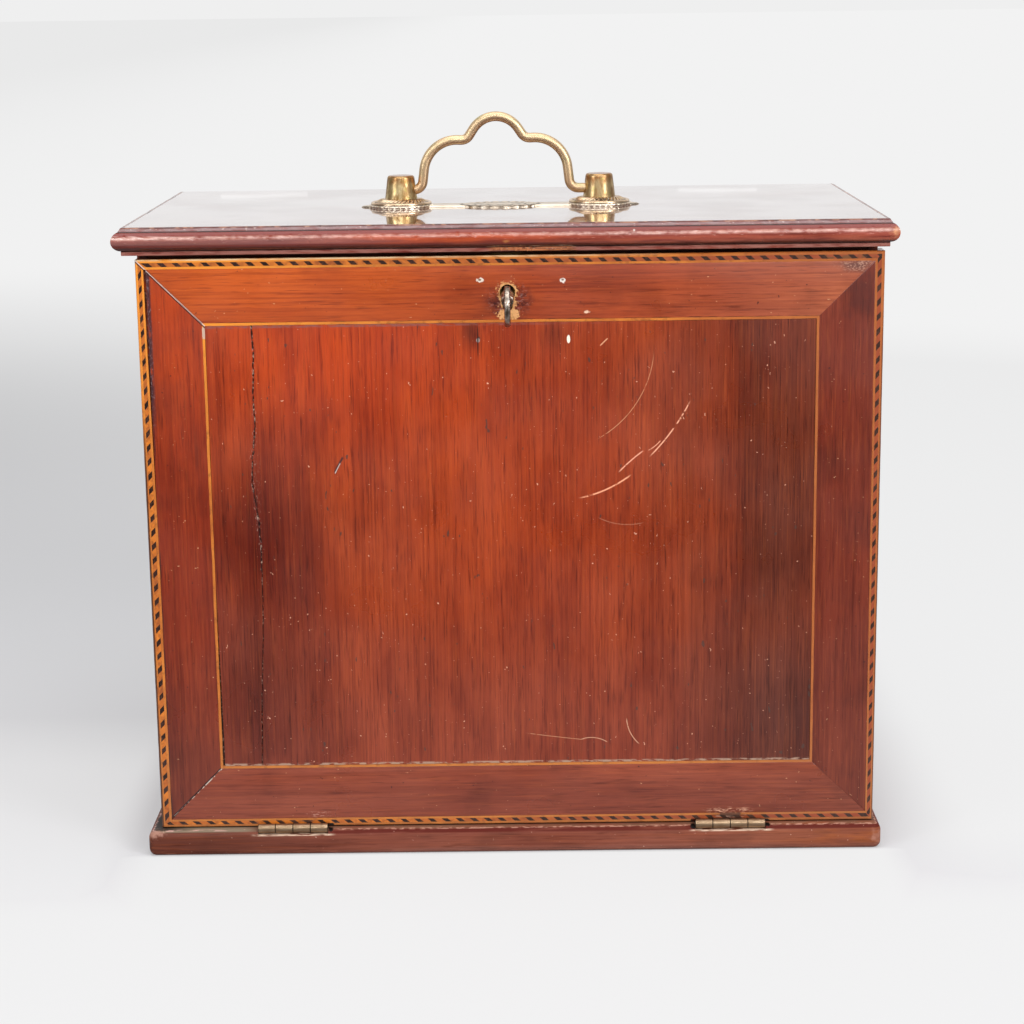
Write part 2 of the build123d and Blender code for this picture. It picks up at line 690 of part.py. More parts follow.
washers, nuts = [], []
for name, x in post_xs.items():
    hand = -1 if name == "left" else 1
    keep(f"handle_rosette_{name}", rosette(x))
    keep(f"handle_post_{name}", Pos(x, handle_y, 0) * post(hand))
    top -= rod_z(stud_hole, top_underside - 1, case_height + 1, x, handle_y)
    bore = rod_z(stud_radius + thread_clearance, stud_foot, top_underside + 1, x, handle_y)
    washers.append(rod_z(washer_radius, nut_top, top_underside, x, handle_y) - bore)
    hexagon = RegularPolygon(nut_width / 2, 6, major_radius=False)
    nuts.append(Pos(x, handle_y, nut_top - nut_height) * extrude(hexagon, amount=nut_height) - bore)
keep("handle_backplate", backplate())
keep("handle_washers", *washers)
keep("handle_nuts", *nuts)
keep("top_board", top)

# The bail: one rod bent to a crown between two shoulders, its ends turned out into the posts
crown_slope = math.radians(bail_neck_slope)
corner_z = bail_shoulder_height + bail_neck_width * math.tan(crown_slope)
crown_radius = (corner_z - bail_height) / (1 / math.cos(crown_slope) - 1)
foot_x = post_spacing / 2 - post_base_radius - bail_foot_reach
half_path = [
    (-post_spacing / 2 + bail_end_short, 0),
    (-foot_x, 0),
    (bail_leg_lean - foot_x, bail_shoulder_height + bail_shoulder_rise),
    (-bail_neck_width, bail_shoulder_height),
]
bent_half = half_path[:2] + [(x, z - bail_left_sag) for x, z in half_path[2:]]
whole_path = bent_half + [(0, corner_z)] + [(-x, z) for x, z in reversed(half_path)]
half_radii = [bail_foot_bend, bail_shoulder_bend, bail_foot_bend]
centre_x = handle_shift + bail_side_play
bail_points = [(centre_x + x, handle_y, pivot_z + z) for x, z in whole_path]
bail_line = FilletPolyline(*bail_points, radius=half_radii + [crown_radius] + half_radii[::-1])
section = Plane(origin=bail_points[0], z_dir=(1, 0, 0)) * Circle(bail_rod_radius)
keep("bail_handle", sweep(section, path=bail_line))

# ---------------------------------------------------------------- write
os.makedirs("parts", exist_ok=True)
for name, shape in parts_made.items():
    export_step(shape, f"parts/{name}.step")
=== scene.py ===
import math
import random

import bmesh
import bpy
from mathutils import Matrix, Vector, noise


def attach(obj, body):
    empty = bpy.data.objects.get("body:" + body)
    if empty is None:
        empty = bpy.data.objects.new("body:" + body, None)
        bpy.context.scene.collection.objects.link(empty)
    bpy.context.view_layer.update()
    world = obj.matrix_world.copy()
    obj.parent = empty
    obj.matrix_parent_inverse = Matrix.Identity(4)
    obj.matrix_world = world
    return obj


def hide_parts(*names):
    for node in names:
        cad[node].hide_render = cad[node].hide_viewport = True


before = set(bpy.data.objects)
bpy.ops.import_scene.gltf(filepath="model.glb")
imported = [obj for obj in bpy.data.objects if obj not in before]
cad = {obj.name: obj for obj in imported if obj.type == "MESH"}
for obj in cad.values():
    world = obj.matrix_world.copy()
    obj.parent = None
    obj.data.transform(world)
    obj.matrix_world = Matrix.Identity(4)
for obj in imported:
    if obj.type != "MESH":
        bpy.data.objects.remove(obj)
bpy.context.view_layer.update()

# ------------------------------------------------------------------------------- base board
# One mahogany plank under the whole case, its grain running side to side and its edges rounded
# over with a plane. Feet and hands have rubbed the front arris down to bare, dusty wood.

MM = 0.001      # every size below is in millimetres, and Blender's unit is the metre


def srgb(code):
    """A hex colour, as the eye sees it, in the linear values that a shader takes."""
    parts = [int(code[i:i + 2], 16) / 255 for i in (1, 3, 5)]
    return tuple(c / 12.92 if c <= 0.04045 else ((c + 0.055) / 1.055) ** 2.4 for c in parts) + (1.0,)


def add(tree, kind, feeds, **settings):
    """Adds one node with its settings, and fills or links each input that feeds names."""
    made = tree.nodes.new("ShaderNode" + kind)
    for name, value in settings.items():
        setattr(made, name, value)
    for socket, value in feeds.items():
        if isinstance(value, bpy.types.NodeSocket):
            tree.links.new(value, made.inputs[socket])
        else:
            made.inputs[socket].default_value = value
    return made


def new_finish(name):
    """An empty material and its node tree, for the wood or metal laid in below."""
    finish = bpy.data.materials.new(name)
    finish.use_nodes = True
    finish.node_tree.nodes.clear()
    return finish, finish.node_tree


def marks(tree, size, least, most, strength=1.0, seed=0.0, detail=2.0):
    """A mask of soft marks, each about size mm, or (x, y, z) mm, fading in between least and most."""
    sizes = size if isinstance(size, tuple) else (size, size, size)
    place = add(tree, "TexCoord", {}).outputs["Object"]
    drawn = add(tree, "Mapping", {"Vector": place, "Location": [seed] * 3,
                                  "Scale": [1 / (s * MM) for s in sizes]})
    cloud = add(tree, "TexNoise", {"Vector": drawn.outputs[0], "Scale": 1.0, "Detail": detail})
    shown = add(tree, "MapRange", {"Value": cloud.outputs[0], "From Min": least, "From Max": most,
                                   "To Max": strength})
    return shown.outputs[0]


def patch(tree, middle, reach, soft=0.6, strength=1.0, ragged=0.0, tear=3):
    """A mask over the ellipsoid round middle, its rim torn by marks of size tear."""
    place = add(tree, "TexCoord", {}).outputs["Object"]
    fitted = add(tree, "Mapping", {"Vector": place, "Scale": [1 / (r * MM) for r in reach],
                                   "Location": [-m / r for m, r in zip(middle, reach)]})
    out = add(tree, "VectorMath", {0: fitted.outputs[0]}, operation="LENGTH").outputs["Value"]
    if ragged:
        torn = marks(tree, tear, 0.3, 0.7, strength=ragged, detail=3)
        out = add(tree, "Math", {0: out, 1: torn}, operation="ADD").outputs[0]
    shown = add(tree, "MapRange", {"Value": out, "From Min": 1.0, "From Max": 1.0 - soft,
                                   "To Max": strength}, interpolation_type="SMOOTHSTEP")
    return shown.outputs[0]


def rising(tree, axis, start, full, strength=1.0):
    """A mask that grows from nothing at start to strength at full, in mm along one axis."""
    place = add(tree, "TexCoord", {}).outputs["Object"]
    along = add(tree, "SeparateXYZ", {0: place}).outputs["XYZ".index(axis)]
    shown = add(tree, "MapRange", {"Value": along, "From Min": start * MM, "From Max": full * MM,
                                   "To Max": strength}, interpolation_type="SMOOTHSTEP")
    return shown.outputs[0]


def where_all(tree, *masks):
    """The mask of the places that every one of these masks covers."""
    common = masks[0]
    for mask in masks[1:]:
        common = add(tree, "Math", {0: common, 1: mask}, operation="MULTIPLY").outputs[0]
    return common


def between(tree, axis, start, full, fading, gone, strength=1.0):
    """A mask that grows from start to full along one axis, and fades again from fading to gone."""
    return where_all(tree, rising(tree, axis, start, full), rising(tree, axis, gone, fading, strength))


def lay(tree, ground, coats, blend="MIX"):
    """Lays each coat, a hex colour and its mask, over the ground in turn."""
    for code, mask in coats:
        coat = add(tree, "Mix", {0: mask, 6: ground, 7: srgb(code)}, data_type="RGBA",
                   blend_type=blend, clamp_factor=True)
        ground = coat.outputs[2]
    return ground


def mahogany_grain(tree, along, body, zones=(), ribbon=14.0, fibre=1.2, length=30.0, seed=0.0, flecks=0.0,
                   calm=1.0):
    """Mahogany with its grain along one axis. zones are broad differences of colour over body;
    on them lie ribbons, fine fibres and short open pores, really 0.2 mm wide but drawn 0.5 mm."""
    def drawn(across, length):
        size = [across] * 3
        size["XYZ".index(along)] = length
        return tuple(size)

    ground = add(tree, "RGB", {})
    ground.outputs[0].default_value = srgb(body)
    colour = lay(tree, ground.outputs[0], zones)
    clouds = marks(tree, drawn(26, 60), 0.36, 0.66, 0.60 * calm, seed + 7, 4)
    ribbons = marks(tree, drawn(ribbon, 220), 0.40, 0.66, 0.50 * calm, seed, 3)
    fibres = marks(tree, drawn(fibre, length * 2), 0.44, 0.72, 0.60 * calm, seed + 3, 3)
    glints = marks(tree, drawn(fibre * 0.8, length), 0.50, 0.72, 0.85 * calm, seed + 5, 3)
    pores = marks(tree, drawn(0.55, 12), 0.60, 0.74, 0.45, seed + 11, 1)
    colour = lay(tree, colour, [("#cba694", clouds), ("#c8a596", ribbons), ("#a97d6c", fibres),
                                ("#8a5f50", pores)], "MULTIPLY")
    colour = lay(tree, colour, [("#5f2b0a", glints)], "SCREEN")
    if flecks:
        curls = marks(tree, drawn(0.9, 16), 0.60, 0.74, flecks, seed + 13, 2)
        colour = lay(tree, colour, [("#94624f", curls)], "MULTIPLY")
    return colour, pores


def french_polish(tree, colour, pores, gloss, dull, film, sink=0.05, film_rough=0.08, film_index=1.5,
                  shine=0.5):
    """Shellac rubbed on in many thin coats: pores half filled, the shine uneven where hands
    and damp have been. film is how much clear coat is left on top."""
    hazy = marks(tree, 45, 0.35, 0.65, 1.0, 21, 4)
    rough = add(tree, "MapRange", {"Value": hazy, "To Min": gloss, "To Max": dull}).outputs[0]
    sunk = add(tree, "Bump", {"Height": pores, "Strength": 0.6, "Distance": sink * MM}, invert=True)
    ripple = add(tree, "Bump", {"Height": marks(tree, 28, 0.2, 0.8, 1, 31), "Strength": 0.5,
                                "Distance": 0.10 * MM, "Normal": sunk.outputs[0]})
    shader = add(tree, "BsdfPrincipled", {
        "Base Color": colour, "Roughness": rough, "IOR": 1.5, "Normal": ripple.outputs[0],
        "Coat Weight": film, "Coat Roughness": film_rough, "Coat IOR": film_index,
        "Specular IOR Level": shine})
    add(tree, "OutputMaterial", {0: shader.outputs[0]})


# French-polished mahogany, dull and dusty: a hazy red-brown with pale rubbed arrises.
base_wood, tree = new_finish("mahogany_polished_dusty")
left_end = rising(tree, "X", -60, -150, 0.62)
right_end = rising(tree, "X", 40, 150, 0.6)
low_dull = where_all(tree, rising(tree, "Z", 5.0, 0.5, 0.6), rising(tree, "X", -90, -40))
orange_right = where_all(tree, rising(tree, "X", 120, 170), marks(tree, (14, 9, 3), 0.45, 0.65, 0.7, 5, 2))
grime = marks(tree, (24, 24, 7), 0.50, 0.70, 0.45, 9, 4)
colour, pores = mahogany_grain(tree, "X", "#8f5444", [
    ("#522c22", left_end), ("#985a40", right_end), ("#ad6438", orange_right), ("#5b362c", grime),
    ("#8e6258", low_dull)],
    ribbon=7, fibre=1.3, calm=0.7)
upper = between(tree, "Z", 12.0, 12.25, 12.5, 12.69)
upper_worn = where_all(tree, upper, rising(tree, "X", -90, -84, 0.9),
                       marks(tree, (3, 2, 0.5), 0.47, 0.56, 1, 2, 4))
upper_left = where_all(tree, upper, rising(tree, "X", -126, -150, 0.8),
                       marks(tree, (5, 2, 0.7), 0.50, 0.60, 1, 8, 4))
under_hinge = between(tree, "Z", 9.8, 10.1, 10.65, 10.95)
beside_left = between(tree, "X", -127, -122, -90, -85)
beside_right = between(tree, "X", 83, 87, 121, 125)
worn_left = where_all(tree, under_hinge, beside_left, marks(tree, (5, 2, 0.6), 0.38, 0.52, 0.9, 3, 4))
worn_right = where_all(tree, under_hinge, beside_right, marks(tree, (5, 2, 0.6), 0.38, 0.52, 0.9, 4, 4))
# Painted shade: black in the gaps at the ends of the hinge barrels.
hinge_gap_shade = [("#080504", patch(tree, middle, (2.1, 6, 1.7), 0.25, 1.0, 0.4, 1.5))
              for middle in ((-88.2, -100, 12.7), (85.6, -100, 12.3), (121.0, -100, 12.8))]
low_arris = where_all(tree, rising(tree, "Y", -98.4, -99.6), rising(tree, "Z", 3.2, 0.8))
low_rubbed = where_all(tree, low_arris, marks(tree, (9, 3, 1.2), 0.54, 0.66, 0.6, 4, 3))
top_dust = where_all(tree, rising(tree, "Z", 12.1, 12.6), marks(tree, (12, 3, 9), 0.30, 0.60, 0.75, 6, 3))
shaded = where_all(tree, between(tree, "Z", 10.3, 11.0, 12.1, 12.5), rising(tree, "X", -92, -86),
                   marks(tree, (30, 3, 2.2), 0.22, 0.46, 1, 10, 3))
left_bare = where_all(tree, between(tree, "X", -176, -166, -132, -118),
                      rising(tree, "Z", 11.5, 12.2, 0.85))
# Painted shadow, with dust: the top face of the left end darkened to grey-black.
left_shade_and_dust = where_all(tree, rising(tree, "Z", 12.2, 12.6), rising(tree, "X", -150, -170, 0.95))
# Painted shade on the base's top, under the front's lower edge.
shade_under_front = where_all(tree, rising(tree, "Z", 12.2, 12.6), rising(tree, "Y", -95.6, -94.4, 0.5))
end_worn = patch(tree, (173, -97, 6), (7, 7, 7), 0.7, 0.8, 0.5)
left_corner = patch(tree, (-173, -98, 11), (9, 6, 3.5), 0.6, 0.7, 0.5, (2, 2, 1.5))
nicks = marks(tree, (1.4, 1.4, 1.1), 0.77, 0.81, 0.8, 13, 1)
colour = lay(tree, colour, [("#5e2016", shaded), ("#7d5c48", top_dust), ("#8d7f6b", left_bare),
                            ("#2e2723", left_shade_and_dust), ("#1d1412", shade_under_front), ("#b88672", upper_worn),
                            ("#dcc0a8", worn_left), ("#dcc0a8", worn_right), ("#a96a52", low_rubbed),
                            ("#b4806c", end_worn), ("#b98a78", left_corner), ("#d0a49a", upper_left),
                            ("#d0a996", nicks)] + hinge_gap_shade)
french_polish(tree, colour, pores, 0.42, 0.62, 0.0, shine=0.12)


def dressed(finish, *nodes):
    """Gives its finish to each CAD node whose shape is right as it is."""
    for node in nodes:
        cad[node].material_slots[0].material = finish


dressed(base_wood, "base_board")

# ------------------------------------------------------------------------------- base screws
# Countersunk steel wood screws under the base and down through the top rails, never polished
# and gone brown where damp and dust have reached them.


def bare_metal(tree, colour, tarnish, bright_rough, dull_rough, relief, strength, depth):
    """Metal with no coat on it, duller where there is tarnish; relief stands depth mm high."""
    rough = add(tree, "MapRange", {"Value": tarnish, "To Min": bright_rough, "To Max": dull_rough}).outputs[0]
    uneven = add(tree, "Bump", {"Height": relief, "Strength": strength, "Distance": depth * MM})
    shader = add(tree, "BsdfPrincipled", {"Base Color": colour, "Metallic": 1.0, "Roughness": rough,
                                          "Normal": uneven.outputs[0]})
    add(tree, "OutputMaterial", {0: shader.outputs[0]})


# Dull mild steel, brown with age: grey metal under a thin, faintly pitted brown skin.
fastener_steel, tree = new_finish("mild_steel_browned")
brown_skin = marks(tree, 1.6, 0.35, 0.65, 0.85, 3, 4)
colour = lay(tree, srgb("#8c867e"), [("#5a4334", brown_skin)])
bare_metal(tree, colour, brown_skin, 0.36, 0.62, brown_skin, 0.6, 0.04)
dressed(fastener_steel, "base_screws", "top_rail_screws", "strike_screws", "hinge_left_pin",
        "hinge_right_pin", "lock_drill_pin", "lock_screws")

# ------------------------------------------------------------------------------- sides and back
# Two solid mahogany sides with the grain running up, and a thinner back let into them with its
# grain across. They are glued and polished outside; the arrises are eased with a scraper.


def eased(node, name, finish, ease, shortest=12.0, angle=30):
    """A new piece with a CAD node's shape, its sharp outer arrises eased by ease mm."""
    work = bmesh.new()
    work.from_mesh(cad[node].data)
    bmesh.ops.remove_doubles(work, verts=work.verts, dist=0.002 * MM)
    bmesh.ops.dissolve_limit(work, angle_limit=math.radians(0.4), verts=work.verts, edges=work.edges)
    sharp = [e for e in work.edges if e.is_manifold and e.is_convex
             and e.calc_length() > shortest * MM and e.calc_face_angle(0) > math.radians(40)]
    bmesh.ops.bevel(work, geom=sharp, offset=ease * MM, segments=2, profile=0.5, affect="EDGES",
                    clamp_overlap=False)
    mesh = bpy.data.meshes.new(name)
    work.to_mesh(mesh)
    work.free()
    return finished(name, mesh, finish, angle)


def finished(name, mesh, finish, angle=30):
    """Gives a mesh its material and soft shading, and puts it in the scene as a piece."""
    mesh.materials.clear()
    mesh.materials.append(finish)
    mesh.shade_smooth()
    mesh.set_sharp_from_angle(angle=math.radians(angle))
    piece = bpy.data.objects.new(name, mesh)
    bpy.context.scene.collection.objects.link(piece)
    return piece


# French-polished mahogany, grain upright: even red-brown, worn pale along its corners.
side_wood, tree = new_finish("mahogany_polished_upright")
bottom_grime = where_all(tree, rising(tree, "Z", 45, 14), marks(tree, (20, 20, 9), 0.3, 0.7, 0.6, 5, 4))
colour, pores = mahogany_grain(tree, "Z", "#95401f", [("#4c2720", bottom_grime)], seed=2, flecks=0.4)
nicks = marks(tree, (1.6, 1.6, 2.6), 0.75, 0.80, 0.7, 17, 1)
scuffs = where_all(tree, marks(tree, (30, 40, 1.1), 0.66, 0.72, 0.4, 19, 2),
                   marks(tree, 60, 0.45, 0.6, 1, 20))
colour = lay(tree, colour, [("#c08c70", nicks), ("#b3704f", scuffs)])
french_polish(tree, colour, pores, 0.24, 0.46, 0.4)

# The same mahogany, grain across the back: rubbed less, so duller and a little darker.
back_wood, tree = new_finish("mahogany_polished_across")
colour, pores = mahogany_grain(tree, "X", "#7f351e", seed=4, flecks=0.4)
dust = marks(tree, (40, 40, 20), 0.45, 0.75, 0.45, 23, 4)
nicks = marks(tree, (2.4, 1.6, 1.6), 0.76, 0.80, 0.6, 27, 1)
colour = lay(tree, colour, [("#553832", dust), ("#b98970", nicks)])
french_polish(tree, colour, pores, 0.36, 0.55, 0.25)

for node, finish in (("side_left", side_wood), ("side_right", side_wood), ("back_panel", back_wood)):
    board = eased(node, node + "_eased", finish, 0.35)
    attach(board, "case")
    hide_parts(node)

# ------------------------------------------------------------------------------- rails and letter rack
# Inside work: two rails screwed up under the top, a low fence and three rising dividers that
# stand letters on edge. Thin mahogany, wiped with one coat of polish, so the grain stays open.

# Thinly polished mahogany: matt, lighter and browner than outside, with open pores.
inside_wood, tree = new_finish("mahogany_thinly_polished")
colour, pores = mahogany_grain(tree, "X", "#9d5533", seed=9, flecks=0.5)
handled = marks(tree, (26, 26, 12), 0.45, 0.7, 0.5, 33, 3)
ink = marks(tree, (7, 7, 5), 0.74, 0.78, 0.7, 35, 2)
colour = lay(tree, colour, [("#63301f", handled), ("#2b2430", ink)])
french_polish(tree, colour, pores, 0.5, 0.66, 0.08, 0.08)

for node in ("top_rail_front", "top_rail_back", "rack_fence", "rack_divider_1", "rack_divider_2",
             "rack_divider_3"):
    board = eased(node, node + "_eased", inside_wood, 0.45, 0.8)
    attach(board, "case")
    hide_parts(node)

# ------------------------------------------------------------------------------- top board
# The top is the best-kept face: figured mahogany under a thick, glassy French polish. Its lower
# side takes the strike plate and the nuts of the handle.

# French-polished mahogany, glassy: dark red-brown that mirrors what stands on it.
top_wood, tree = new_finish("mahogany_polished_glassy")
colour, pores = mahogany_grain(tree, "X", "#6c2a1b", seed=6, flecks=0.3)
old_scratches = where_all(tree, marks(tree, (1.0, 60, 30), 0.66, 0.70, 0.5, 37, 1),
                          marks(tree, 50, 0.5, 0.6, 1, 38))
under_handle = patch(tree, (-3, -10, 301), (60, 22, 9), 0.9, 0.4)
colour = lay(tree, colour, [("#80503c", old_scratches), ("#3b1a12", under_handle)])
french_polish(tree, colour, pores, 0.12, 0.24, 1.0, 0.02, film_rough=0.02)
dressed(top_wood, "top_board")

# ------------------------------------------------------------------------------- top mouldings
# Three lengths of half-round moulding, mitred at the front corners and glued round the top. The
# front one is knocked along its nose, and a splinter is torn from the fillet under it.

arris_left, arris_right = -173.3, 171.9     # the top board's arrises
arris_front_y = -96.5
back_y = 95.0
top_z = 301.2
under_z = 288.5
fillet_step = 1.7
ledge_out, nose_top_z, nose_bottom_z = 2.8, 299.3, 290.6
nose_centre_out, nose_centre_z, nose_radius = 1.0555, 295.101, 4.547
torn_from, torn_to = -9.0, 32.0


def nose_points(count=26):
    """Points round the half-round from its top to its bottom, as (outwards, height)."""
    first = math.atan2(nose_top_z - nose_centre_z, ledge_out - nose_centre_out)
    last = math.atan2(nose_bottom_z - nose_centre_z, fillet_step - nose_centre_out)
    steps = [first + (last - first) * i / count for i in range(1, count)]
    return [(nose_centre_out + nose_radius * math.cos(a), nose_centre_z + nose_radius * math.sin(a))
            for a in steps]


# The section from the top board's arris outwards and down: flat, ledge, nose and lower fillet.
moulding_section = (
    [(0, top_z), (0.5, top_z), (1.0, top_z), (1.3, top_z - 0.02), (1.52, top_z - 0.12), (1.68, top_z - 0.36)]
    + [(1.86, 300.5), (2.14, 300.12), (2.42, 299.74), (2.6, 299.42), (2.68, 299.18), (2.86, 299.2)]
    + nose_points()
    + [(fillet_step, z) for z in (nose_bottom_z, 290.2, 289.8, 289.4, 289.0, 288.75)]
    + [(1.45, under_z), (0.7, under_z), (0, under_z), (0, 294.0)]
)


def skin(rows, count, ring=False):
    """Quads over points laid row after row, count to a row; ring joins each row's two ends."""
    last = count if ring else count - 1
    return [(r * count + c, r * count + (c + 1) % count, (r + 1) * count + (c + 1) % count,
             (r + 1) * count + c) for r in range(rows - 1) for c in range(last)]


def shaped(name, points, faces, finish, angle=30):
    """A piece made from points in millimetres and the faces between them."""
    mesh = bpy.data.meshes.new(name)
    mesh.from_pydata([[c * MM for c in p] for p in points], [], faces)
    work = bmesh.new()
    work.from_mesh(mesh)
    bmesh.ops.recalc_face_normals(work, faces=work.faces)
    work.to_mesh(mesh)
    work.free()
    return finished(name, mesh, finish, angle)


def knocked(s, out, z, seed):
    """One point of the moulding after a century of knocks; s is its place along the run."""
    dent = max(0.0, noise.noise(Vector((s / 2.6, z / 1.6, seed))) - 0.30) * 0.8
    flat = max(0.0, noise.noise(Vector((s / 14, z / 3.0, seed + 4))) - 0.2) * 0.35
    if out > 2.9 or z > top_z - 0.7:
        return out - dent - flat, z - (dent * 0.7 if z > top_z - 0.7 and out > 1.0 else 0)
    return out, z


def torn_fillet(s, out, z):
    """The lower fillet where the splinter left it: cut back and hollowed, with ragged ends."""
    if z > nose_bottom_z + 0.7 or out < 0.1:
        return out, z
    span = min(1, max(0, (s - torn_from) / 6)) * min(1, max(0, (torn_to - s) / 9))
    fine, coarse = noise.noise(Vector((s / 1.7, 5, 1))), noise.noise(Vector((s / 6, 2, 8)))
    torn = span * (0.75 + 1.3 * fine + 0.5 * coarse)
    depth = min(1.0, max(0.0, (nose_bottom_z + 0.7 - z) / (nose_bottom_z + 0.7 - under_z)))
    return max(0.1, out - 1.3 * max(0, torn) * depth ** 0.5), z + 1.25 * max(0, torn) * depth ** 2


def moulding_run(name, finish, count, place, seed, torn=False):
    """Sweeps the section along a run; place turns (share of the way, outwards) into x and y."""
    points = []
    for i in range(count + 1):
        for out, z in moulding_section:
            x, y = place(i / count, out)
            s = x if torn else y
            worn_out, worn_z = knocked(s, out, z, seed)
            if torn:
                worn_out, worn_z = torn_fillet(s, worn_out, worn_z)
            x, y = place(i / count, worn_out)
            points.append((x, y, worn_z))
    around = len(moulding_section)
    ends = [tuple(range(around)), tuple(range(count * around, (count + 1) * around))[::-1]]
    return shaped(name, points, skin(count + 1, around, True) + ends, finish, 40)


def moulding_finish(name, along, seed):
    """French-polished mahogany on a moulding: plum-brown with an orange bloom on the nose, a
    ledge pale with dust and painted reflection between a dark line of dirt at the arris and a
    quirk of painted shade and dirt, painted shade on the nose above its crest and on its lower
    part, a painted highlight along the crest, and pale chips where it is knocked."""
    finish, tree = new_finish(name)

    def stretched(long, short):
        return (long, 3, short) if along == "X" else (3, long, short)

    nose_upper = between(tree, "Z", 293.5, 295.2, 296.8, 298.3)
    bloom = where_all(tree, nose_upper, marks(tree, stretched(30, 2.4), 0.34, 0.62, 0.85, seed + 1, 3))
    # The nose darkened on its lower part: painted shade, and darkened polish.
    below = where_all(tree, rising(tree, "Z", 293.4, 291.7, 0.95), rising(tree, "Z", 289.8, 290.4))
    colour, pores = mahogany_grain(tree, along, "#8a3a30", [("#a8584a", bloom), ("#4a1c14", below)],
                                   ribbon=5, fibre=1.4, length=30, seed=seed)
    # Pale scratches on the upper nose, which also paint the specks of its highlight.
    scratches_and_highlight_specks = where_all(tree, nose_upper, marks(tree, stretched(3.4, 0.5), 0.64, 0.69, 0.6, seed + 2, 3))
    crest = between(tree, "Z", 295.2, 296.2, 296.9, 297.7)
    # A painted highlight along the crest, broken up like rubbed polish.
    rubbed = where_all(tree, crest, marks(tree, stretched(3.6, 2.4), 0.28, 0.72, 0.62, seed + 11, 5))
    # Painted shade: the nose darkened above its crest.
    over_crest = between(tree, "Z", 297.0, 297.8, 298.7, 299.0, 0.8)
    ledge = between(tree, "Z", 299.15, 299.5, 300.6, 300.95)
    # The ledge painted pale: dust, and a painted reflection of the light above it.
    dusty = where_all(tree, ledge, marks(tree, stretched(7, 2), 0.22, 0.55, 0.9, seed + 5, 3))
    grains = where_all(tree, ledge, marks(tree, (1.3, 1.3, 0.9), 0.64, 0.70, 0.7, seed + 6, 2))
    arris_dirt = where_all(tree, between(tree, "Z", 300.55, 300.8, 301.19, 301.3),
                           marks(tree, stretched(4, 1.4), 0.25, 0.60, 0.65, seed + 8, 5))
    # Painted shade and dirt: dark lines in the quirk above the nose and in the groove under it.
    quirk = between(tree, "Z", 298.8, 299.12, 299.3, 299.55, 0.9)
    low_quirk = between(tree, "Z", 291.7, 290.9, 290.5, 290.2, 0.7)
    fillet = where_all(tree, rising(tree, "Z", 290.4, 290.1, 0.75),
                       marks(tree, stretched(9, 1.2), 0.3, 0.55, 1, seed + 9, 3))
    reddened = where_all(tree, arris_dirt, marks(tree, stretched(4, 2), 0.50, 0.60, 0.9, seed + 10, 2))
    colour = lay(tree, colour, [("#8c7272", dusty), ("#bfa9a4", grains), ("#2a1211", quirk),
                                ("#240d0b", arris_dirt), ("#c8906e", reddened), ("#1f0c0a", low_quirk),
                                ("#a06c60", fillet), ("#761c10", over_crest), ("#e6bcae", rubbed),
                                ("#cf9c8c", scratches_and_highlight_specks)])
    return finish, tree, colour, pores


# The front length: knocked along its nose, splintered in the middle and brighter where it is held,
# # with painted light on the lower nose at the right and a painted highlight and sheen at the left.
front_moulding_wood, tree, colour, pores = moulding_finish("mahogany_moulding_knocked", "X", 12)
splinter_side = between(tree, "X", -10, -4, 27, 33)
splinter = where_all(tree, splinter_side, rising(tree, "Z", 290.6, 290.0),
                     marks(tree, (22, 2, 1.0), 0.34, 0.46, 0.9, 41, 4))
torn_shade = where_all(tree, splinter_side, rising(tree, "Z", 291.0, 290.4),
                       marks(tree, (12, 2, 0.7), 0.56, 0.64, 0.8, 43, 3))
curls = where_all(tree, splinter_side, rising(tree, "Z", 292.0, 291.0),
                  marks(tree, (7, 2, 0.45), 0.62, 0.67, 1, 45, 3))
worn_end = patch(tree, (176.5, -101, 295.6), (6, 4, 4.2), 0.8, 0.8, 0.5, 2)
# Rubbed pale at the left end of the nose, with a painted highlight there.
rubbed_left = where_all(tree, patch(tree, (-172, -101, 296.8), (30, 4, 1.3), 0.8, 0.75),
                        marks(tree, (4, 3, 0.8), 0.42, 0.56, 1, 47, 4))
star = patch(tree, (57.5, -101.5, 297.6), (0.9, 3, 0.8), 0.5, 0.9, 0.4, 0.6)
bump_knot = patch(tree, (-0.5, -101.5, 293.4), (2.6, 3, 1.4), 0.6, 0.7, 0.4)
lit_right = where_all(tree, rising(tree, "X", -20, 90, 0.6), rising(tree, "Z", 291.2, 292.3),
                      rising(tree, "Z", 295.2, 293.8), marks(tree, (16, 3, 1.8), 0.30, 0.62, 1, 48, 4))
# Painted sheen: a grey haze under the crest at the left, where the highlight spreads.
painted_sheen_left = where_all(tree, rising(tree, "X", -20, -90, 0.24), rising(tree, "Z", 292.8, 294.0),
                      rising(tree, "Z", 296.2, 295.2))
glowing = where_all(tree, patch(tree, (-25, -101, 295.2), (85, 6, 3.4), 0.9, 0.8),
                    marks(tree, (26, 3, 2.2), 0.34, 0.60, 1, 49, 3))
colour = lay(tree, colour, [("#c25226", glowing), ("#b05a40", lit_right), ("#a48886", painted_sheen_left),
                            ("#c87c4c", splinter), ("#3a1710", torn_shade), ("#f0d0ae", curls),
                            ("#dd9f72", worn_end), ("#e6c6bc", rubbed_left), ("#cdbab0", star),
                            ("#b7743f", bump_knot)])
soft_shine = {"sink": 0.03, "film_rough": 0.15, "film_index": 1.55, "shine": 0.15}
french_polish(tree, colour, pores, 0.36, 0.48, 0.6, **soft_shine)

# The side lengths: the same polish, only rubbed.
side_moulding_wood, tree, colour, pores = moulding_finish("mahogany_moulding_rubbed", "Y", 14)
french_polish(tree, colour, pores, 0.36, 0.48, 0.6, **soft_shine)


def along_front(share, out):
    """The place (x, y) on the front moulding, mitred at both ends."""
    start, end = arris_left - out, arris_right + out
    return start + (end - start) * share, arris_front_y - out


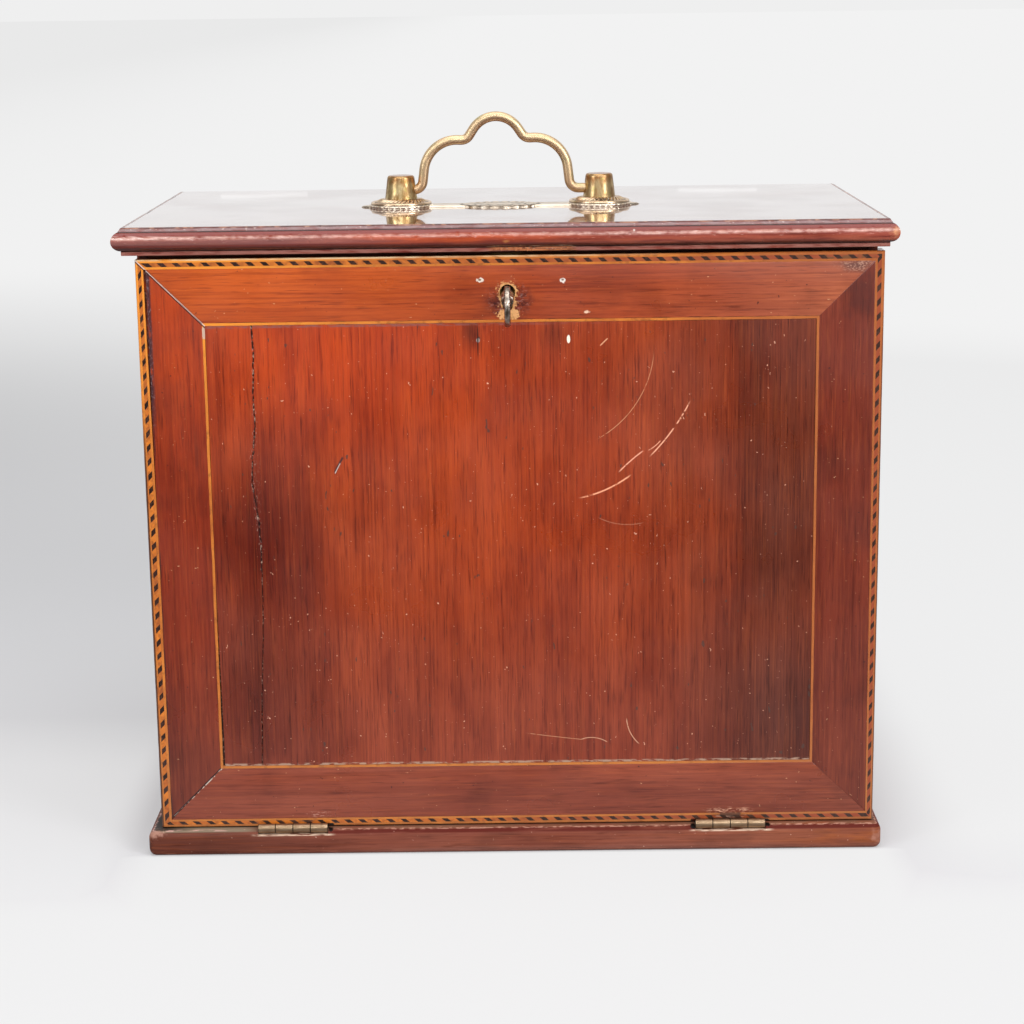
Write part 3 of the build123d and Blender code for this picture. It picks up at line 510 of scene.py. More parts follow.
def along_side(edge, hand):
    """The same for a side moulding, mitred in front and square at the back."""
    return lambda share, out: (edge + hand * out, (arris_front_y - out) * (1 - share) + back_y * share)


run = moulding_run("top_moulding_front_knocked", front_moulding_wood, 720, along_front, 1, True)
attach(run, "case")
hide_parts("top_moulding_front")
for side, edge, hand in (("left", arris_left, -1), ("right", arris_right, 1)):
    run = moulding_run(f"top_moulding_{side}_knocked", side_moulding_wood, 300, along_side(edge, hand),
                       5 * hand)
    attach(run, "case")
    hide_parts(f"top_moulding_{side}")

# ------------------------------------------------------------------------------- handle backplate
# A long plate stamped from thin brass sheet: straps to a middle medallion of petals, a raised
# disc with a beaded rim under each rosette, and an engraved leaf at each end.

handle_x, handle_y = -3.4, -10.0
post_half = 48.35
plate_z, plate_thick = top_z, 0.8
disc_rise = 0.65
strap_half = 6.5
medallion_x, medallion_y = 20.0, 12.5
disc_radius = 15.35
tip_reach = 19.55
petals_round, petal_depth = 11, 0.55
post_places = {"left": handle_x - post_half, "right": handle_x + post_half}


def plate_half_width(x):
    """Half the plate's width at x, from the middle of the handle."""
    widths = [strap_half if abs(x) < post_half else 0.0]
    if abs(x) < medallion_x:
        petals = petal_depth * math.cos(petals_round * math.acos(x / medallion_x)) ** 2
        widths.append(medallion_y * math.sqrt(1 - (x / medallion_x) ** 2) + petals - petal_depth)
    past = abs(x) - post_half
    if abs(past) < disc_radius:
        widths.append(math.sqrt(disc_radius ** 2 - past ** 2))
    if past > 0:
        lobe = 0.35 * abs(math.sin(past * 1.9))
        widths.append(max(0.0, 1.25 * (tip_reach - past) * 0.75 + lobe * min(1, (tip_reach - past))))
    return min(max(widths), 15.4)


def plate_relief(x, y):
    """The stamping at (x, y), from the middle of the handle: its height, and how dark it is."""
    across = math.hypot(x / medallion_x, y / medallion_y)
    turn = math.atan2(y / medallion_y, x / medallion_x)
    past = abs(x) - post_half
    if across < 1.0:
        petals = abs(math.cos(petals_round * turn)) ** 0.7
        ring = math.exp(-((across - 0.82) / 0.12) ** 2) * (0.25 + 0.75 * petals)
        groove = math.exp(-((across - 0.62) / 0.03) ** 2)
        flower_edge = 0.32 + 0.16 * abs(math.cos(3 * turn))
        flower = max(0.0, 1 - (across / flower_edge) ** 4) * (0.55 + 0.45 * abs(math.cos(3 * turn)))
        outline = math.exp(-((across - flower_edge) / 0.035) ** 2)
        dark = max(groove, outline, math.exp(-((across - 0.95) / 0.03) ** 2),
                   (1 - petals) ** 1.5 * (across > 0.68))
        return 0.5 * ring + 0.4 * flower - 0.15 * groove, 0.95 * dark
    if math.hypot(past, y) < disc_radius:
        return disc_rise, 0.0
    if past > 0:
        vein = abs(math.sin(2.6 * abs(y) + 2.2 * past)) ** 0.8
        thin = 0.4 - plate_thick
        return thin + 0.35 * vein * min(1.0, max(0.0, tip_reach - past) / 1.5), 1 - vein
    edge = strap_half - abs(y)
    line = math.exp(-((edge - 1.5) / 0.35) ** 2)
    return 0.15 * math.exp(-((edge - 0.5) / 0.35) ** 2) - 0.12 * line, 0.9 * line


def plate_stations():
    """Where the plate's mesh has a row of points: close together where its outline is busy."""
    stops, x = [], 0.0
    end = post_half + tip_reach
    while x < end:
        stops.append(x)
        busy = x < medallion_x + 0.5 or x > post_half + disc_radius - 1.2
        x += 0.3 if busy else (0.55 if x > post_half - disc_radius - 0.5 else 1.5)
    stops.append(end - 0.02)
    return [-s for s in stops[:0:-1]] + stops


stations = plate_stations()
across_count = 61
edge_width, edge_drop = 0.5, 0.45      # the plate's edge is rounded over this far in and down
plate_points, plate_dark, rim = [], [], plate_z + plate_thick
for x in stations:
    half = plate_half_width(x)
    for i in range(across_count):
        y = half * (-1 + 2 * i / (across_count - 1))
        height, dark = plate_relief(x, y)
        edge = min(1.0, (half - abs(y)) / edge_width)
        rounded = 0.0 if height == disc_rise else edge_drop * (1 - edge) ** 2
        faded = edge if height > 0 and height != disc_rise else 1.0
        plate_points.append((handle_x + x, handle_y + y, rim + height * faded - rounded))
        plate_dark.append(dark)
    for y in (half, -half):
        plate_points.append((handle_x + x, handle_y + y, plate_z + 0.01))
        plate_dark.append(0.1)
row = across_count + 2
plate_faces = skin(len(stations), row, True)
plate_faces += [tuple(range(row))[::-1], tuple(range(len(plate_points) - row, len(plate_points)))]
bead_count = 33
bead_thick, bead_long, bead_high, bead_middle = 0.36, 1.42, 0.62, 0.80
bead_rings, bead_sides = 9, 10
beads = [(x, turn) for x in post_places.values() for turn in range(bead_count)]
for x, turn in beads:
    angle = math.radians((turn + 0.3) * 360 / bead_count)
    out_x, out_y = math.cos(angle), math.sin(angle)
    if abs(disc_radius * out_y) < strap_half - 1 and abs(x + disc_radius * out_x - handle_x) < post_half:
        continue
    first = len(plate_points)
    for ring in range(bead_rings):
        lift = math.radians(-80 + ring * 20)
        for step in range(bead_sides):
            around = math.radians(step * 360 / bead_sides)
            outward = bead_thick * math.cos(lift) * math.cos(around)
            along = bead_long * math.cos(lift) * math.sin(around)
            plate_points.append((x + (disc_radius + outward) * out_x - along * out_y,
                                 handle_y + (disc_radius + outward) * out_y + along * out_x,
                                 plate_z + bead_middle + bead_high * math.sin(lift)))
            plate_dark.append(0.0)
    plate_faces += [tuple(first + v for v in quad) for quad in skin(bead_rings, bead_sides, True)]
    plate_faces.append(tuple(first + v for v in range(bead_sides))[::-1])
    top_ring = first + (bead_rings - 1) * bead_sides
    plate_faces.append(tuple(top_ring + v for v in range(bead_sides)))


def soiled(piece, darkness):
    """Writes how much dirt sits at each point of a piece, for its material to read."""
    layer = piece.data.attributes.new("dirt", "FLOAT", "POINT")
    layer.data.foreach_set("value", darkness)


def brass_surface(tree, colour, dull, bright_rough, dull_rough, grain_size, grain_depth):
    """Bare brass, dull where it has lost its shine, with the faint grain of its casting or rolling."""
    grain = marks(tree, grain_size, 0.3, 0.7, 1, 3, 3)
    bare_metal(tree, colour, dull, bright_rough, dull_rough, grain, 0.4, grain_depth)


def packed_dirt(tree):
    """A mask of the dirt that soiled has written into a piece."""
    return add(tree, "Attribute", {}, attribute_name="dirt").outputs["Fac"]


# Stamped sheet brass, engraved: pale and glossy on the flats, brown-black dirt in every line.
plate_brass, tree = new_finish("brass_stamped_pale")
tanned = marks(tree, 3.5, 0.35, 0.65, 0.6, 2, 4)
in_lines = packed_dirt(tree)
colour = lay(tree, srgb("#e6d8c6"), [("#c9b59c", tanned), ("#4a3c2e", in_lines)])
brass_surface(tree, colour, in_lines, 0.32, 0.5, 0.8, 0.004)

plate = shaped("handle_backplate_stamped", plate_points, plate_faces, plate_brass, 50)
soiled(plate, plate_dark)
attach(plate, "case")
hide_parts("handle_backplate")

# ------------------------------------------------------------------------------- handle rosettes
# Two cast brass roses, turned with a plain bright rim and a band of slanting gadroons like
# twisted rope round the seat of the post. Each is clamped under its post.

rosette_radius = 14.75
rosette_foot_z, rosette_seat_z = 302.65, 305.35
rim_inside, rim_middle, rim_half = 13.2, 13.95, 0.8
groove_inside, rope_wide, seat_radius = 12.8, 3.9, 8.9
gadroons = 34


def rosette_height(r, turn):
    """The rosette at radius r: its height over its foot, and how dark it is."""
    if r > rim_inside:
        t = (r - rim_middle) / rim_half
        return 0.55 + 0.75 * math.sqrt(max(0.0, 1 - t * t)), 0.0
    if r > groove_inside:
        return 0.75, 1.0
    seat = rosette_seat_z - rosette_foot_z
    if r > seat_radius:
        t = (groove_inside - r) / rope_wide
        body = 1.15 + (seat - 1.15) * math.sin(t * math.pi / 2)
        rope = abs(math.cos(gadroons / 2 * turn + r * 1.05))
        cut = (1 - rope ** 0.7) * math.sin(math.pi * min(1, max(0, t)))
        return body - 0.8 * cut, min(1.0, 1.5 * max(0.0, 0.62 - rope) + 0.5 * (t < 0.08))
    return seat, 0.0


ring_radii = [9.0 * i / 4 for i in range(1, 5)] + [seat_radius + 0.25 * i for i in range(1, 16)]
ring_radii += [12.82, 12.98, 13.18, 13.25, 13.4, 13.65, 13.95, 14.25, 14.5, 14.66, 14.74]
slices = 408

# Cast and turned brass, tan-silver where rubbed, with black-brown dirt between the gadroons.
rosette_brass, tree = new_finish("brass_turned_rubbed")
tanned = marks(tree, 4, 0.40, 0.66, 0.7, 2, 4)
greenish = marks(tree, (5, 5, 2), 0.58, 0.70, 0.35, 8, 2)
in_rope = packed_dirt(tree)
caked = where_all(tree, patch(tree, (46.2, -21, 304), (7, 3.2, 4), 0.3, 0.85, 0.4, 2),
                  marks(tree, (2.2, 1.0, 2), 0.46, 0.54, 1, 9, 2))
colour = lay(tree, srgb("#dfc4a4"), [("#b8967a", tanned), ("#8f8a3c", greenish), ("#2e2218", in_rope),
                                     ("#3a2c1a", caked)])
brass_surface(tree, colour, in_rope, 0.26, 0.5, 0.9, 0.008)

for side, x in post_places.items():
    points = [(x, handle_y, rosette_seat_z)]
    darkness = [0.0]
    for r in ring_radii:
        for i in range(slices):
            turn = 2 * math.pi * i / slices
            height, dark = rosette_height(r, turn)
            points.append((x + r * math.cos(turn), handle_y + r * math.sin(turn), rosette_foot_z + height))
            darkness.append(dark)
    for i in range(slices):
        turn = 2 * math.pi * i / slices
        points.append((x + rosette_radius * math.cos(turn), handle_y + rosette_radius * math.sin(turn),
                       rosette_foot_z + 0.02))
        darkness.append(0.8)
    faces = [tuple(v + 1 for v in quad) for quad in skin(len(ring_radii) + 1, slices, True)]
    faces += [(0, i + 1, (i + 1) % slices + 1) for i in range(slices)]
    faces.append(tuple(range(len(points) - slices, len(points))))
    rosette = shaped(f"handle_rosette_{side}_gadrooned", points, faces, rosette_brass, 45)
    soiled(rosette, darkness)
    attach(rosette, "case")
    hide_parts(f"handle_rosette_{side}")

# ------------------------------------------------------------------------------- posts and bail
# Tapered cast posts hold the turned-out ends of a drawn brass rod, bent to a crown between two
# shoulders. Studs run down through the top to washers and nuts inside.

# Cast brass under worn lacquer: khaki gold where rubbed, orange-brown where the lacquer stays
# round the head and in long patches down the post, and a flat end gone grey.
cast_brass, tree = new_finish("brass_cast_lacquer_worn")
right_brown = rising(tree, "X", 0, 10, 0.45)
mottled = marks(tree, (2.2, 2.2, 4), 0.42, 0.62, 0.85, 7, 4)
left_flank = where_all(tree, rising(tree, "X", 2.0, -3.0), marks(tree, (3, 3, 8), 0.40, 0.62, 0.7, 2, 3))
head = where_all(tree, rising(tree, "Z", 311.5, 314.5), marks(tree, (5, 5, 3), 0.32, 0.55, 0.8, 6, 3))
greenish = marks(tree, 2.2, 0.60, 0.70, 0.4, 8, 2)
flat_end = rising(tree, "Z", 316.38, 316.48, 0.9)
colour = lay(tree, srgb("#dcc492"), [("#a88660", right_brown), ("#94714a", mottled), ("#94703e", left_flank),
                                     ("#a06a3c", head), ("#a3a24c", greenish), ("#bfaaa0", flat_end)])
lacquer_gone = marks(tree, (2.2, 2.2, 4), 0.40, 0.68, 1, 7, 4)
brass_surface(tree, colour, lacquer_gone, 0.28, 0.46, (1.6, 1.6, 2.2), 0.012)
dressed(cast_brass, "handle_post_left", "handle_post_right", "handle_washers", "handle_nuts")

# Drawn brass rod, rubbed satin by hands: pinkish tan, browner down its legs.
bail_brass, tree = new_finish("brass_drawn_rubbed")
handled = marks(tree, 9, 0.35, 0.65, 0.5, 4, 3)
down_legs = rising(tree, "Z", 322, 309, 0.5)
greenish = marks(tree, 7, 0.56, 0.70, 0.5, 6, 2)
colour = lay(tree, srgb("#e0c59c"), [("#cba98a", handled), ("#c09a76", down_legs), ("#b3b184", greenish)])
dull = marks(tree, 9, 0.35, 0.65, 1, 4, 3)
brass_surface(tree, colour, dull, 0.42, 0.48, 40, 0.02)

rod_radius, rod_sides, pivot_z = 2.35, 32, 309.4
bail_middle_x = handle_x - 1.9
crown_slope, crown_height = math.radians(56), 35.2
shoulder_x, shoulder_z = 14.2, 24.4
corner_z = shoulder_z + shoulder_x * math.tan(crown_slope)
crown_radius = (corner_z - crown_height) / (1 / math.cos(crown_slope) - 1)
rod_foot_x = post_half - 7.85 - 4.3
leg_top_z, leg_lean, left_droop = 24.9, 3.0, 0.7
tight_bend, leg_bend, bend_step = 4.5, 16, 0.7
right_half = [(shoulder_x, shoulder_z), (rod_foot_x - leg_lean, leg_top_z), (rod_foot_x, 0.0),
              (post_half - 1.2, 0.0)]
left_half = [(-x, z - left_droop * (z > 0)) for x, z in right_half]
corners = [Vector((x, z)) for x, z in left_half[::-1] + [(0, corner_z)] + right_half]
bends = (tight_bend, leg_bend, tight_bend, crown_radius, tight_bend, leg_bend, tight_bend)
path = [corners[0]]
for before, here, after, radius in zip(corners, corners[1:], corners[2:], bends):
    back, on = (before - here).normalized(), (after - here).normalized()
    half = back.angle(on) / 2
    middle = here + (back + on).normalized() * radius / math.sin(half)
    first = here + back * radius / math.tan(half) - middle
    last = here + on * radius / math.tan(half) - middle
    swing = math.pi - 2 * half
    steps = max(6, int(radius * swing / bend_step))
    for k in range(steps + 1):
        fading, growing = math.sin(swing * (1 - k / steps)), math.sin(swing * k / steps)
        path.append(middle + (first * fading + last * growing) / math.sin(swing))
path.append(corners[-1])
rod_points = []
for i, here in enumerate(path):
    ahead = (path[min(i + 1, len(path) - 1)] - path[max(i - 1, 0)]).normalized()
    for step in range(rod_sides):
        around = 2 * math.pi * step / rod_sides
        out = Vector((-ahead.y, ahead.x)) * rod_radius * math.cos(around) + here
        rod_points.append((bail_middle_x + out.x, handle_y + rod_radius * math.sin(around), pivot_z + out.y))
rod_ends = [tuple(range(rod_sides)), tuple(range(len(rod_points) - rod_sides, len(rod_points)))[::-1]]
bail = shaped("bail_handle_smooth", rod_points, skin(len(path), rod_sides, True) + rod_ends, bail_brass, 50)
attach(bail, "bail")
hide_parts("bail_handle")

# ------------------------------------------------------------------------------- hinges
# A pair of brass butts: leaves let into the base and the front's lower edge, four knuckles on a
# steel pin standing proud of the front. Dull, with dirt packed between the knuckles.

hinge_middles = (-106.2, 103.4)
hinge_half = 16.75          # half the length of a barrel of four knuckles
knuckle_pitch = hinge_half / 2
nearby = 40.0               # how far each side of a hinge's middle its dirt may lie


def knuckle_seams(tree):
    """Dirt in the joints between the knuckles, which come at each quarter of a hinge."""
    place = add(tree, "TexCoord", {}).outputs["Object"]
    along = add(tree, "SeparateXYZ", {0: place}).outputs[0]
    seams = []
    for middle in hinge_middles:
        off = add(tree, "Math", {0: along, 1: (middle - hinge_half) * MM}, operation="SUBTRACT").outputs[0]
        turn = add(tree, "Math", {0: off, 1: knuckle_pitch / 2 * MM}, operation="PINGPONG").outputs[0]
        seam = add(tree, "MapRange", {"Value": turn, "From Min": 0.34 * MM, "From Max": 0.12 * MM})
        from_middle = add(tree, "Math", {0: off, 1: -hinge_half * MM}, operation="ADD").outputs[0]
        share = add(tree, "MapRange", {"Value": from_middle, "From Min": -nearby * MM,
                                       "From Max": nearby * MM}).outputs[0]
        before_end = add(tree, "Math", {0: share, 1: 1.0}, operation="LESS_THAN").outputs[0]
        past_start = add(tree, "Math", {0: share, 1: 0.0}, operation="GREATER_THAN").outputs[0]
        seams.append(where_all(tree, seam.outputs[0], where_all(tree, before_end, past_start)))
    return add(tree, "Math", {0: seams[0], 1: seams[1]}, operation="MAXIMUM").outputs[0]


# Sheet and rod brass, tarnished: brown-tan and satin, rubbed paler along the barrel.
hinge_brass, tree = new_finish("brass_hinge_tarnished")
tarnish = marks(tree, (4, 1.6, 1.6), 0.35, 0.65, 0.6, 3, 3)
rubbed = marks(tree, (9, 0.9, 0.6), 0.54, 0.66, 0.5, 5, 2)
seams = knuckle_seams(tree)
colour = lay(tree, srgb("#ad9276"), [("#84684c", tarnish), ("#c6ae8e", rubbed), ("#2a1f18", seams)])
dull = marks(tree, (4, 1.6, 1.6), 0.35, 0.65, 1, 3, 3)
brass_surface(tree, colour, dull, 0.36, 0.52, 1.5, 0.02)
dressed(hinge_brass, "hinge_left_base_leaf", "hinge_right_base_leaf", "hinge_left_front_leaf",
        "hinge_right_front_leaf", "hinge_base_screws", "hinge_front_screws")

# ------------------------------------------------------------------------------- front frame
# Four mahogany members mitred round the panel of the fall front. The left mitres have opened
# with the years; the top rail is worn bare round the keyhole.

front_x0, front_x1, front_z0, front_z1 = -169.5, 171.9, 13.1, 286.3
front_y = -95.0


def mitre_line(tree, corner_x, corner_z, slope, width, near, strength):
    """A mask along one 45 degree mitre, width mm wide, shown only inside near's patch."""
    place = add(tree, "TexCoord", {}).outputs["Object"]
    at = add(tree, "SeparateXYZ", {0: place})
    over = add(tree, "Math", {0: at.outputs[0], 1: 1.0, 2: -corner_x * MM}, operation="MULTIPLY_ADD")
    up = add(tree, "Math", {0: at.outputs[2], 1: -slope, 2: corner_z * slope * MM}, operation="MULTIPLY_ADD")
    gap = add(tree, "Math", {0: over.outputs[0], 1: up.outputs[0]}, operation="ADD")
    gap = add(tree, "Math", {0: gap.outputs[0]}, operation="ABSOLUTE")
    line = add(tree, "MapRange", {"Value": gap.outputs[0], "From Min": width * 1.42 * MM,
                                  "From Max": width * 0.7 * MM, "To Max": strength})
    return where_all(tree, line.outputs[0], near)


def frame_finish(name, along, seed, body, glow, right, low):
    """French-polished mahogany of the front: glowing red-orange at the top left, and hazier,
    browner and more bruised towards the right and the bottom."""
    finish, tree = new_finish(name)
    top_left = patch(tree, (-120, front_y, 300), (190, 60, 150), 1.0, 0.95)
    right_side = rising(tree, "X", 40, 165, 0.85)
    low_down = rising(tree, "Z", 150, 20, 0.85)
    bruised = marks(tree, 26, 0.52, 0.74, 0.35, seed + 2, 4)
    colour, pores = mahogany_grain(tree, along, body,
                                   [(glow, top_left), (right, right_side), (low, low_down)],
                                   ribbon=12, fibre=1.1, length=26, seed=seed, flecks=0.35, calm=0.75)
    colour = lay(tree, colour, [("#8c6a66", bruised)], "MULTIPLY")
    nicks = marks(tree, (1.5, 1.5, 1.0), 0.775, 0.80, 0.8, seed + 4, 1)
    dark_nicks = marks(tree, 1.6, 0.775, 0.80, 0.7, seed + 6, 1)
    colour = lay(tree, colour, [("#d09a72", nicks), ("#35161a", dark_nicks)])
    return finish, tree, colour, pores


def top_mitre(tree):
    """The coats for the top left mitre: pale filler with a crack beside it, its darkness painted shadow."""
    top_near = patch(tree, (-154.5, front_y, 271.2), (24, 5, 24), 0.06)
    crack = mitre_line(tree, front_x0 - 0.75, front_z1, -1, 0.4, top_near, 0.85)
    pale = mitre_line(tree, front_x0, front_z1, -1, 0.32, top_near, 0.95)
    return [("#2a100e", crack), ("#d8c0b6", pale)]


def low_mitre(tree):
    """The coats for the bottom left mitre: a dark line and pale flecks of filler."""
    low_near = patch(tree, (-153, front_y, 30), (20, 5, 20), 0.1)
    low = mitre_line(tree, front_x0, front_z0, 1, 0.4, low_near, 0.9)
    low_flecks = where_all(tree, mitre_line(tree, front_x0 + 0.6, front_z0, 1, 0.35, low_near, 0.8),
                           marks(tree, (1.4, 3, 1.4), 0.5, 0.56, 1, 68, 2))
    return [("#33201d", low), ("#cfc2b4", low_flecks)]


# The rails: browner, stained and worn to bare wood round the keyhole, and crazed at the right.
rail_wood, tree, colour, pores = frame_finish("mahogany_front_rails", "X", 40, body="#a64622",
                                              glow="#d05e1c", right="#b06040", low="#924a36")
stained = patch(tree, (0.5, front_y, 264), (17, 4, 15), 0.8, 0.8, 0.4, 4)
frayed = patch(tree, (0.5, front_y, 266), (13, 4, 12), 0.7)
frayed_pale = where_all(tree, frayed, marks(tree, (1.7, 3, 0.8), 0.58, 0.64, 0.35, 56, 2))
frayed_dark = where_all(tree, frayed, marks(tree, (1.5, 3, 1.5), 0.55, 0.62, 0.8, 57, 2))
rims = [patch(tree, middle, reach, 0.14, 1.0, 0.42, 0.9) for middle, reach in (
    ((0, front_y, 269.8), (6.3, 4, 6.2)), ((0, front_y, 264.5), (5.6, 4, 5.6)),
    ((0.3, front_y, 259.2), (7.0, 4, 4.2)))]
rim_shade = where_all(tree, patch(tree, (0, front_y, 265), (8, 4, 11), 0.2),
                      marks(tree, (1.6, 3, 1.6), 0.46, 0.62, 0.7, 58, 3))
speck_left = patch(tree, (-12.4, front_y, 275.2), (2.6, 1.5, 1.5), 0.3, 1.0, 0.5, 0.9)
speck_right = patch(tree, (25.4, front_y, 274.7), (2.3, 1.5, 1.8), 0.3, 1.0, 0.5, 0.9)
speck_low = patch(tree, (36, front_y, 260.0), (2.0, 1.5, 1.0), 0.3, 0.9, 0.4, 0.9)
crazed = patch(tree, (160, front_y, 280), (16, 4, 6), 0.8, 0.75, 0.3, 4)
crazing = where_all(tree, crazed, marks(tree, (1.1, 1.1, 0.5), 0.52, 0.60, 0.9, 52, 4))
over_right_hinge = where_all(tree, patch(tree, (103, front_y, 18.7), (14, 3, 2.2), 0.6, 0.9),
                             marks(tree, (2.4, 3, 0.45), 0.52, 0.58, 1, 65, 4))
over_left_hinge = where_all(tree, patch(tree, (-94, front_y, 19.0), (10, 3, 2.0), 0.6, 0.7),
                            marks(tree, (2.0, 3, 0.5), 0.55, 0.60, 0.8, 66, 4))
under_strip = where_all(tree, between(tree, "Z", 257.6, 257.1, 201, 200),
                        marks(tree, (7, 3, 2), 0.45, 0.6, 0.7, 54, 3))
pit_left = patch(tree, (-12.6, front_y, 275.3), (1.0, 1.5, 0.6), 0.5, 0.9)
pit_right = patch(tree, (25.2, front_y, 274.9), (0.8, 1.5, 0.6), 0.5, 0.9)
colour = lay(tree, colour, [("#43191c", stained), ("#2f1216", frayed_dark), ("#b5938c", frayed_pale)])
rim_wood = lay(tree, srgb("#dba269"), [("#b0743f", rim_shade)])
for worn in rims:
    bare = add(tree, "Mix", {0: worn, 6: colour, 7: rim_wood}, data_type="RGBA", clamp_factor=True)
    colour = bare.outputs[2]
colour = lay(tree, colour, [("#4d2b26", crazed), ("#c09078", crazing), ("#e0d0c0", speck_left),
                            ("#e0d6cc", speck_right), ("#6a4632", pit_left), ("#6a4632", pit_right),
                            ("#e9c4a6", speck_low), ("#4a1d14", under_strip),
                            ("#e2a98a", over_right_hinge), ("#cf9a86", over_left_hinge)]
             + top_mitre(tree) + low_mitre(tree))
french_polish(tree, colour, pores, 0.26, 0.40, 0.3)

# The stiles: darker, with painted shade and black dirt in the gap where the left one has drawn away from the
# banding.
stile_wood, tree, colour, pores = frame_finish("mahogany_front_stiles", "Z", 60, body="#903012",
                                               glow="#c54608", right="#7c3321", low="#7b3522")
# Painted shade, and dirt, on the floor of the gap at the top of the left stile.
gap_shade_and_dirt = where_all(tree, rising(tree, "X", -162.6, -163.6), rising(tree, "Z", 195, 235),
                      marks(tree, (1.4, 9, 5), 0.30, 0.46, 0.9, 61, 3))
gap_flecks = where_all(tree, gap_shade_and_dirt, marks(tree, (0.6, 9, 0.9), 0.58, 0.64, 0.6, 62, 2))
dust_line = where_all(tree, rising(tree, "X", -163.7, -164.3), marks(tree, (2, 2, 12), 0.4, 0.6, 0.8, 61, 3))
corner_dark = patch(tree, (160, front_y, 268), (14, 4, 26), 0.9, 0.65, 0.3, 6)
streaks = where_all(tree, rising(tree, "Z", 90, 160), marks(tree, (2.4, 9, 34), 0.60, 0.72, 0.5, 63, 3))
colour = lay(tree, colour, [("#5a1d12", streaks), ("#3a1c1e", dust_line), ("#3a1f26", gap_shade_and_dirt),
                            ("#927d80", gap_flecks), ("#3f1d1c", corner_dark)]
             + top_mitre(tree) + low_mitre(tree))
french_polish(tree, colour, pores, 0.26, 0.40, 0.3)

mitre_gap = 0.28            # each left mitre has drawn apart by this much
rebate = 4.8                # the rebate for the banding, all round the frame


def planed_width(where, x, z):
    """How wide the banding has been left at (x, z): its old edges aren't straight."""
    if where == "left":
        return rebate - 1.15 * min(1.0, max(0.0, (z - 155) / 110))
    if where == "right":
        return 3.5 + 0.9 * (z - front_z0) / (front_z1 - front_z0)
    if where == "bottom":
        return 3.8 + 0.55 * (x - front_x0) / (front_x1 - front_x0)
    return 4.45


def insets(x, z):
    """How far (x, z) lies in from each side of the front, and which way is inwards."""
    return (("left", x - front_x0, (1, 0)), ("right", front_x1 - x, (-1, 0)),
            ("bottom", z - front_z0, (0, 1)), ("top", front_z1 - z, (0, -1)))


for node, finish in (("front_rail_top", rail_wood), ("front_rail_bottom", rail_wood),
                     ("front_stile_left", stile_wood), ("front_stile_right", stile_wood)):
    member = eased(node, node + "_eased", finish, 0.14)
    for v in member.data.vertices:
        x, z = v.co.x / MM, v.co.z / MM
        for where, inset, (in_x, in_z) in insets(x, z):
            if where != "left" and abs(inset - rebate) < 0.3:
                moved = planed_width(where, x, z) - rebate
                v.co.x += in_x * moved * MM
                v.co.z += in_z * moved * MM
        if node == "front_stile_left":
            for end, hand in ((front_z1, -1), (front_z0, 1)):
                if abs(abs(z - end) - (x - front_x0)) < 0.5:
                    v.co.z += hand * mitre_gap * MM
    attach(member, "front")
    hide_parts(node)

# ------------------------------------------------------------------------------- front panel
# A flush panel of solid mahogany, its grain upright, held in a groove so that it can move. It
# has shrunk from the left stile low down and has split from top to bottom 20 mm in.

inset = 30.6                # banding, frame and stringing, in from the front's edge
panel_x0, panel_x1 = front_x0 + inset, front_x1 - inset
panel_z0, panel_z1 = front_z0 + inset, front_z1 - inset
field_back_y = -93.3
split_bends = [(256, -117.6), (243, -117.1), (221, -118.0), (209, -117.5), (192, -119.4), (182, -119.9),
               (171, -118.4), (162, -117.4), (152, -116.8), (121, -117.0), (101, -117.8), (77, -119.1),
               (43, -120.2)]


def split_x(z):
    """Where the split runs at height z."""
    for (z_a, x_a), (z_b, x_b) in zip(split_bends, split_bends[1:]):
        if z_b <= z <= z_a:
            return x_a + (x_b - x_a) * (z_a - z) / (z_a - z_b) + 0.35 * noise.noise(Vector((z / 3.1, 0, 3)))
    return split_bends[-1][1]


def split_depth(aside, z):
    """How far the split has sunk at a distance aside from its middle; its lips stand up a little."""
    wide = (0.62 if z > 140 else 0.36) * (1 + 0.5 * noise.noise(Vector((z / 1.7, 3, 1))))
    open_here = 0.62 + 0.9 * noise.noise(Vector((z / 1.6, 7, 0)))
    sunk = 0.8 * max(0.12, open_here) * max(0.0, 1 - abs(aside) / wide)
    lip = 0.10 * math.exp(-((abs(aside) - wide - 0.25) / 0.25) ** 2) * (1 if z > 140 else 0.3)
    return sunk - lip * (0.5 + noise.noise(Vector((z / 1.3, aside, 2))))


asides = [-2.6, -1.7, -1.1, -0.8, -0.55, -0.38, -0.22, -0.1, 0.0, 0.1, 0.22, 0.38, 0.55, 0.8, 1.1, 1.7, 2.6]
aside_reach = asides[-1]
right_columns = 22
rows = 290
points = []
for j in range(rows + 1):
    z = panel_z0 + 0.10 + (panel_z1 - panel_z0 - 0.20) * j / rows
    shrink = 0.12 + 0.85 * min(1, max(0, (135 - z) / 75)) ** 1.2
    left, right, middle = panel_x0 + shrink, panel_x1 - 0.10, split_x(z)
    line = [left, left, left + 0.12]
    line += [left + 0.12 + (middle - aside_reach - left) * t for t in (0.2, 0.4, 0.6, 0.8)]
    line += [middle + a for a in asides]
    line += [middle + aside_reach + (right - 0.12 - middle - aside_reach) * t / right_columns
             for t in range(1, right_columns + 1)]
    line += [right, right]
    for i, x in enumerate(line):
        slow, quick = noise.noise(Vector((x / 26, z / 70, 1))), noise.noise(Vector((x / 3.4, z / 40, 4)))
        wave = 0.05 * slow + 0.012 * quick
        sunk = split_depth(x - middle, z) if abs(x - middle) < 2 else 0.0
        eased_back = 0.12 if i in (1, len(line) - 2) else 0
        y = field_back_y if i in (0, len(line) - 1) else front_y + 0.03 + wave + sunk + eased_back
        points.append((x, y, z))
columns = len(line)
faces = skin(rows + 1, columns)
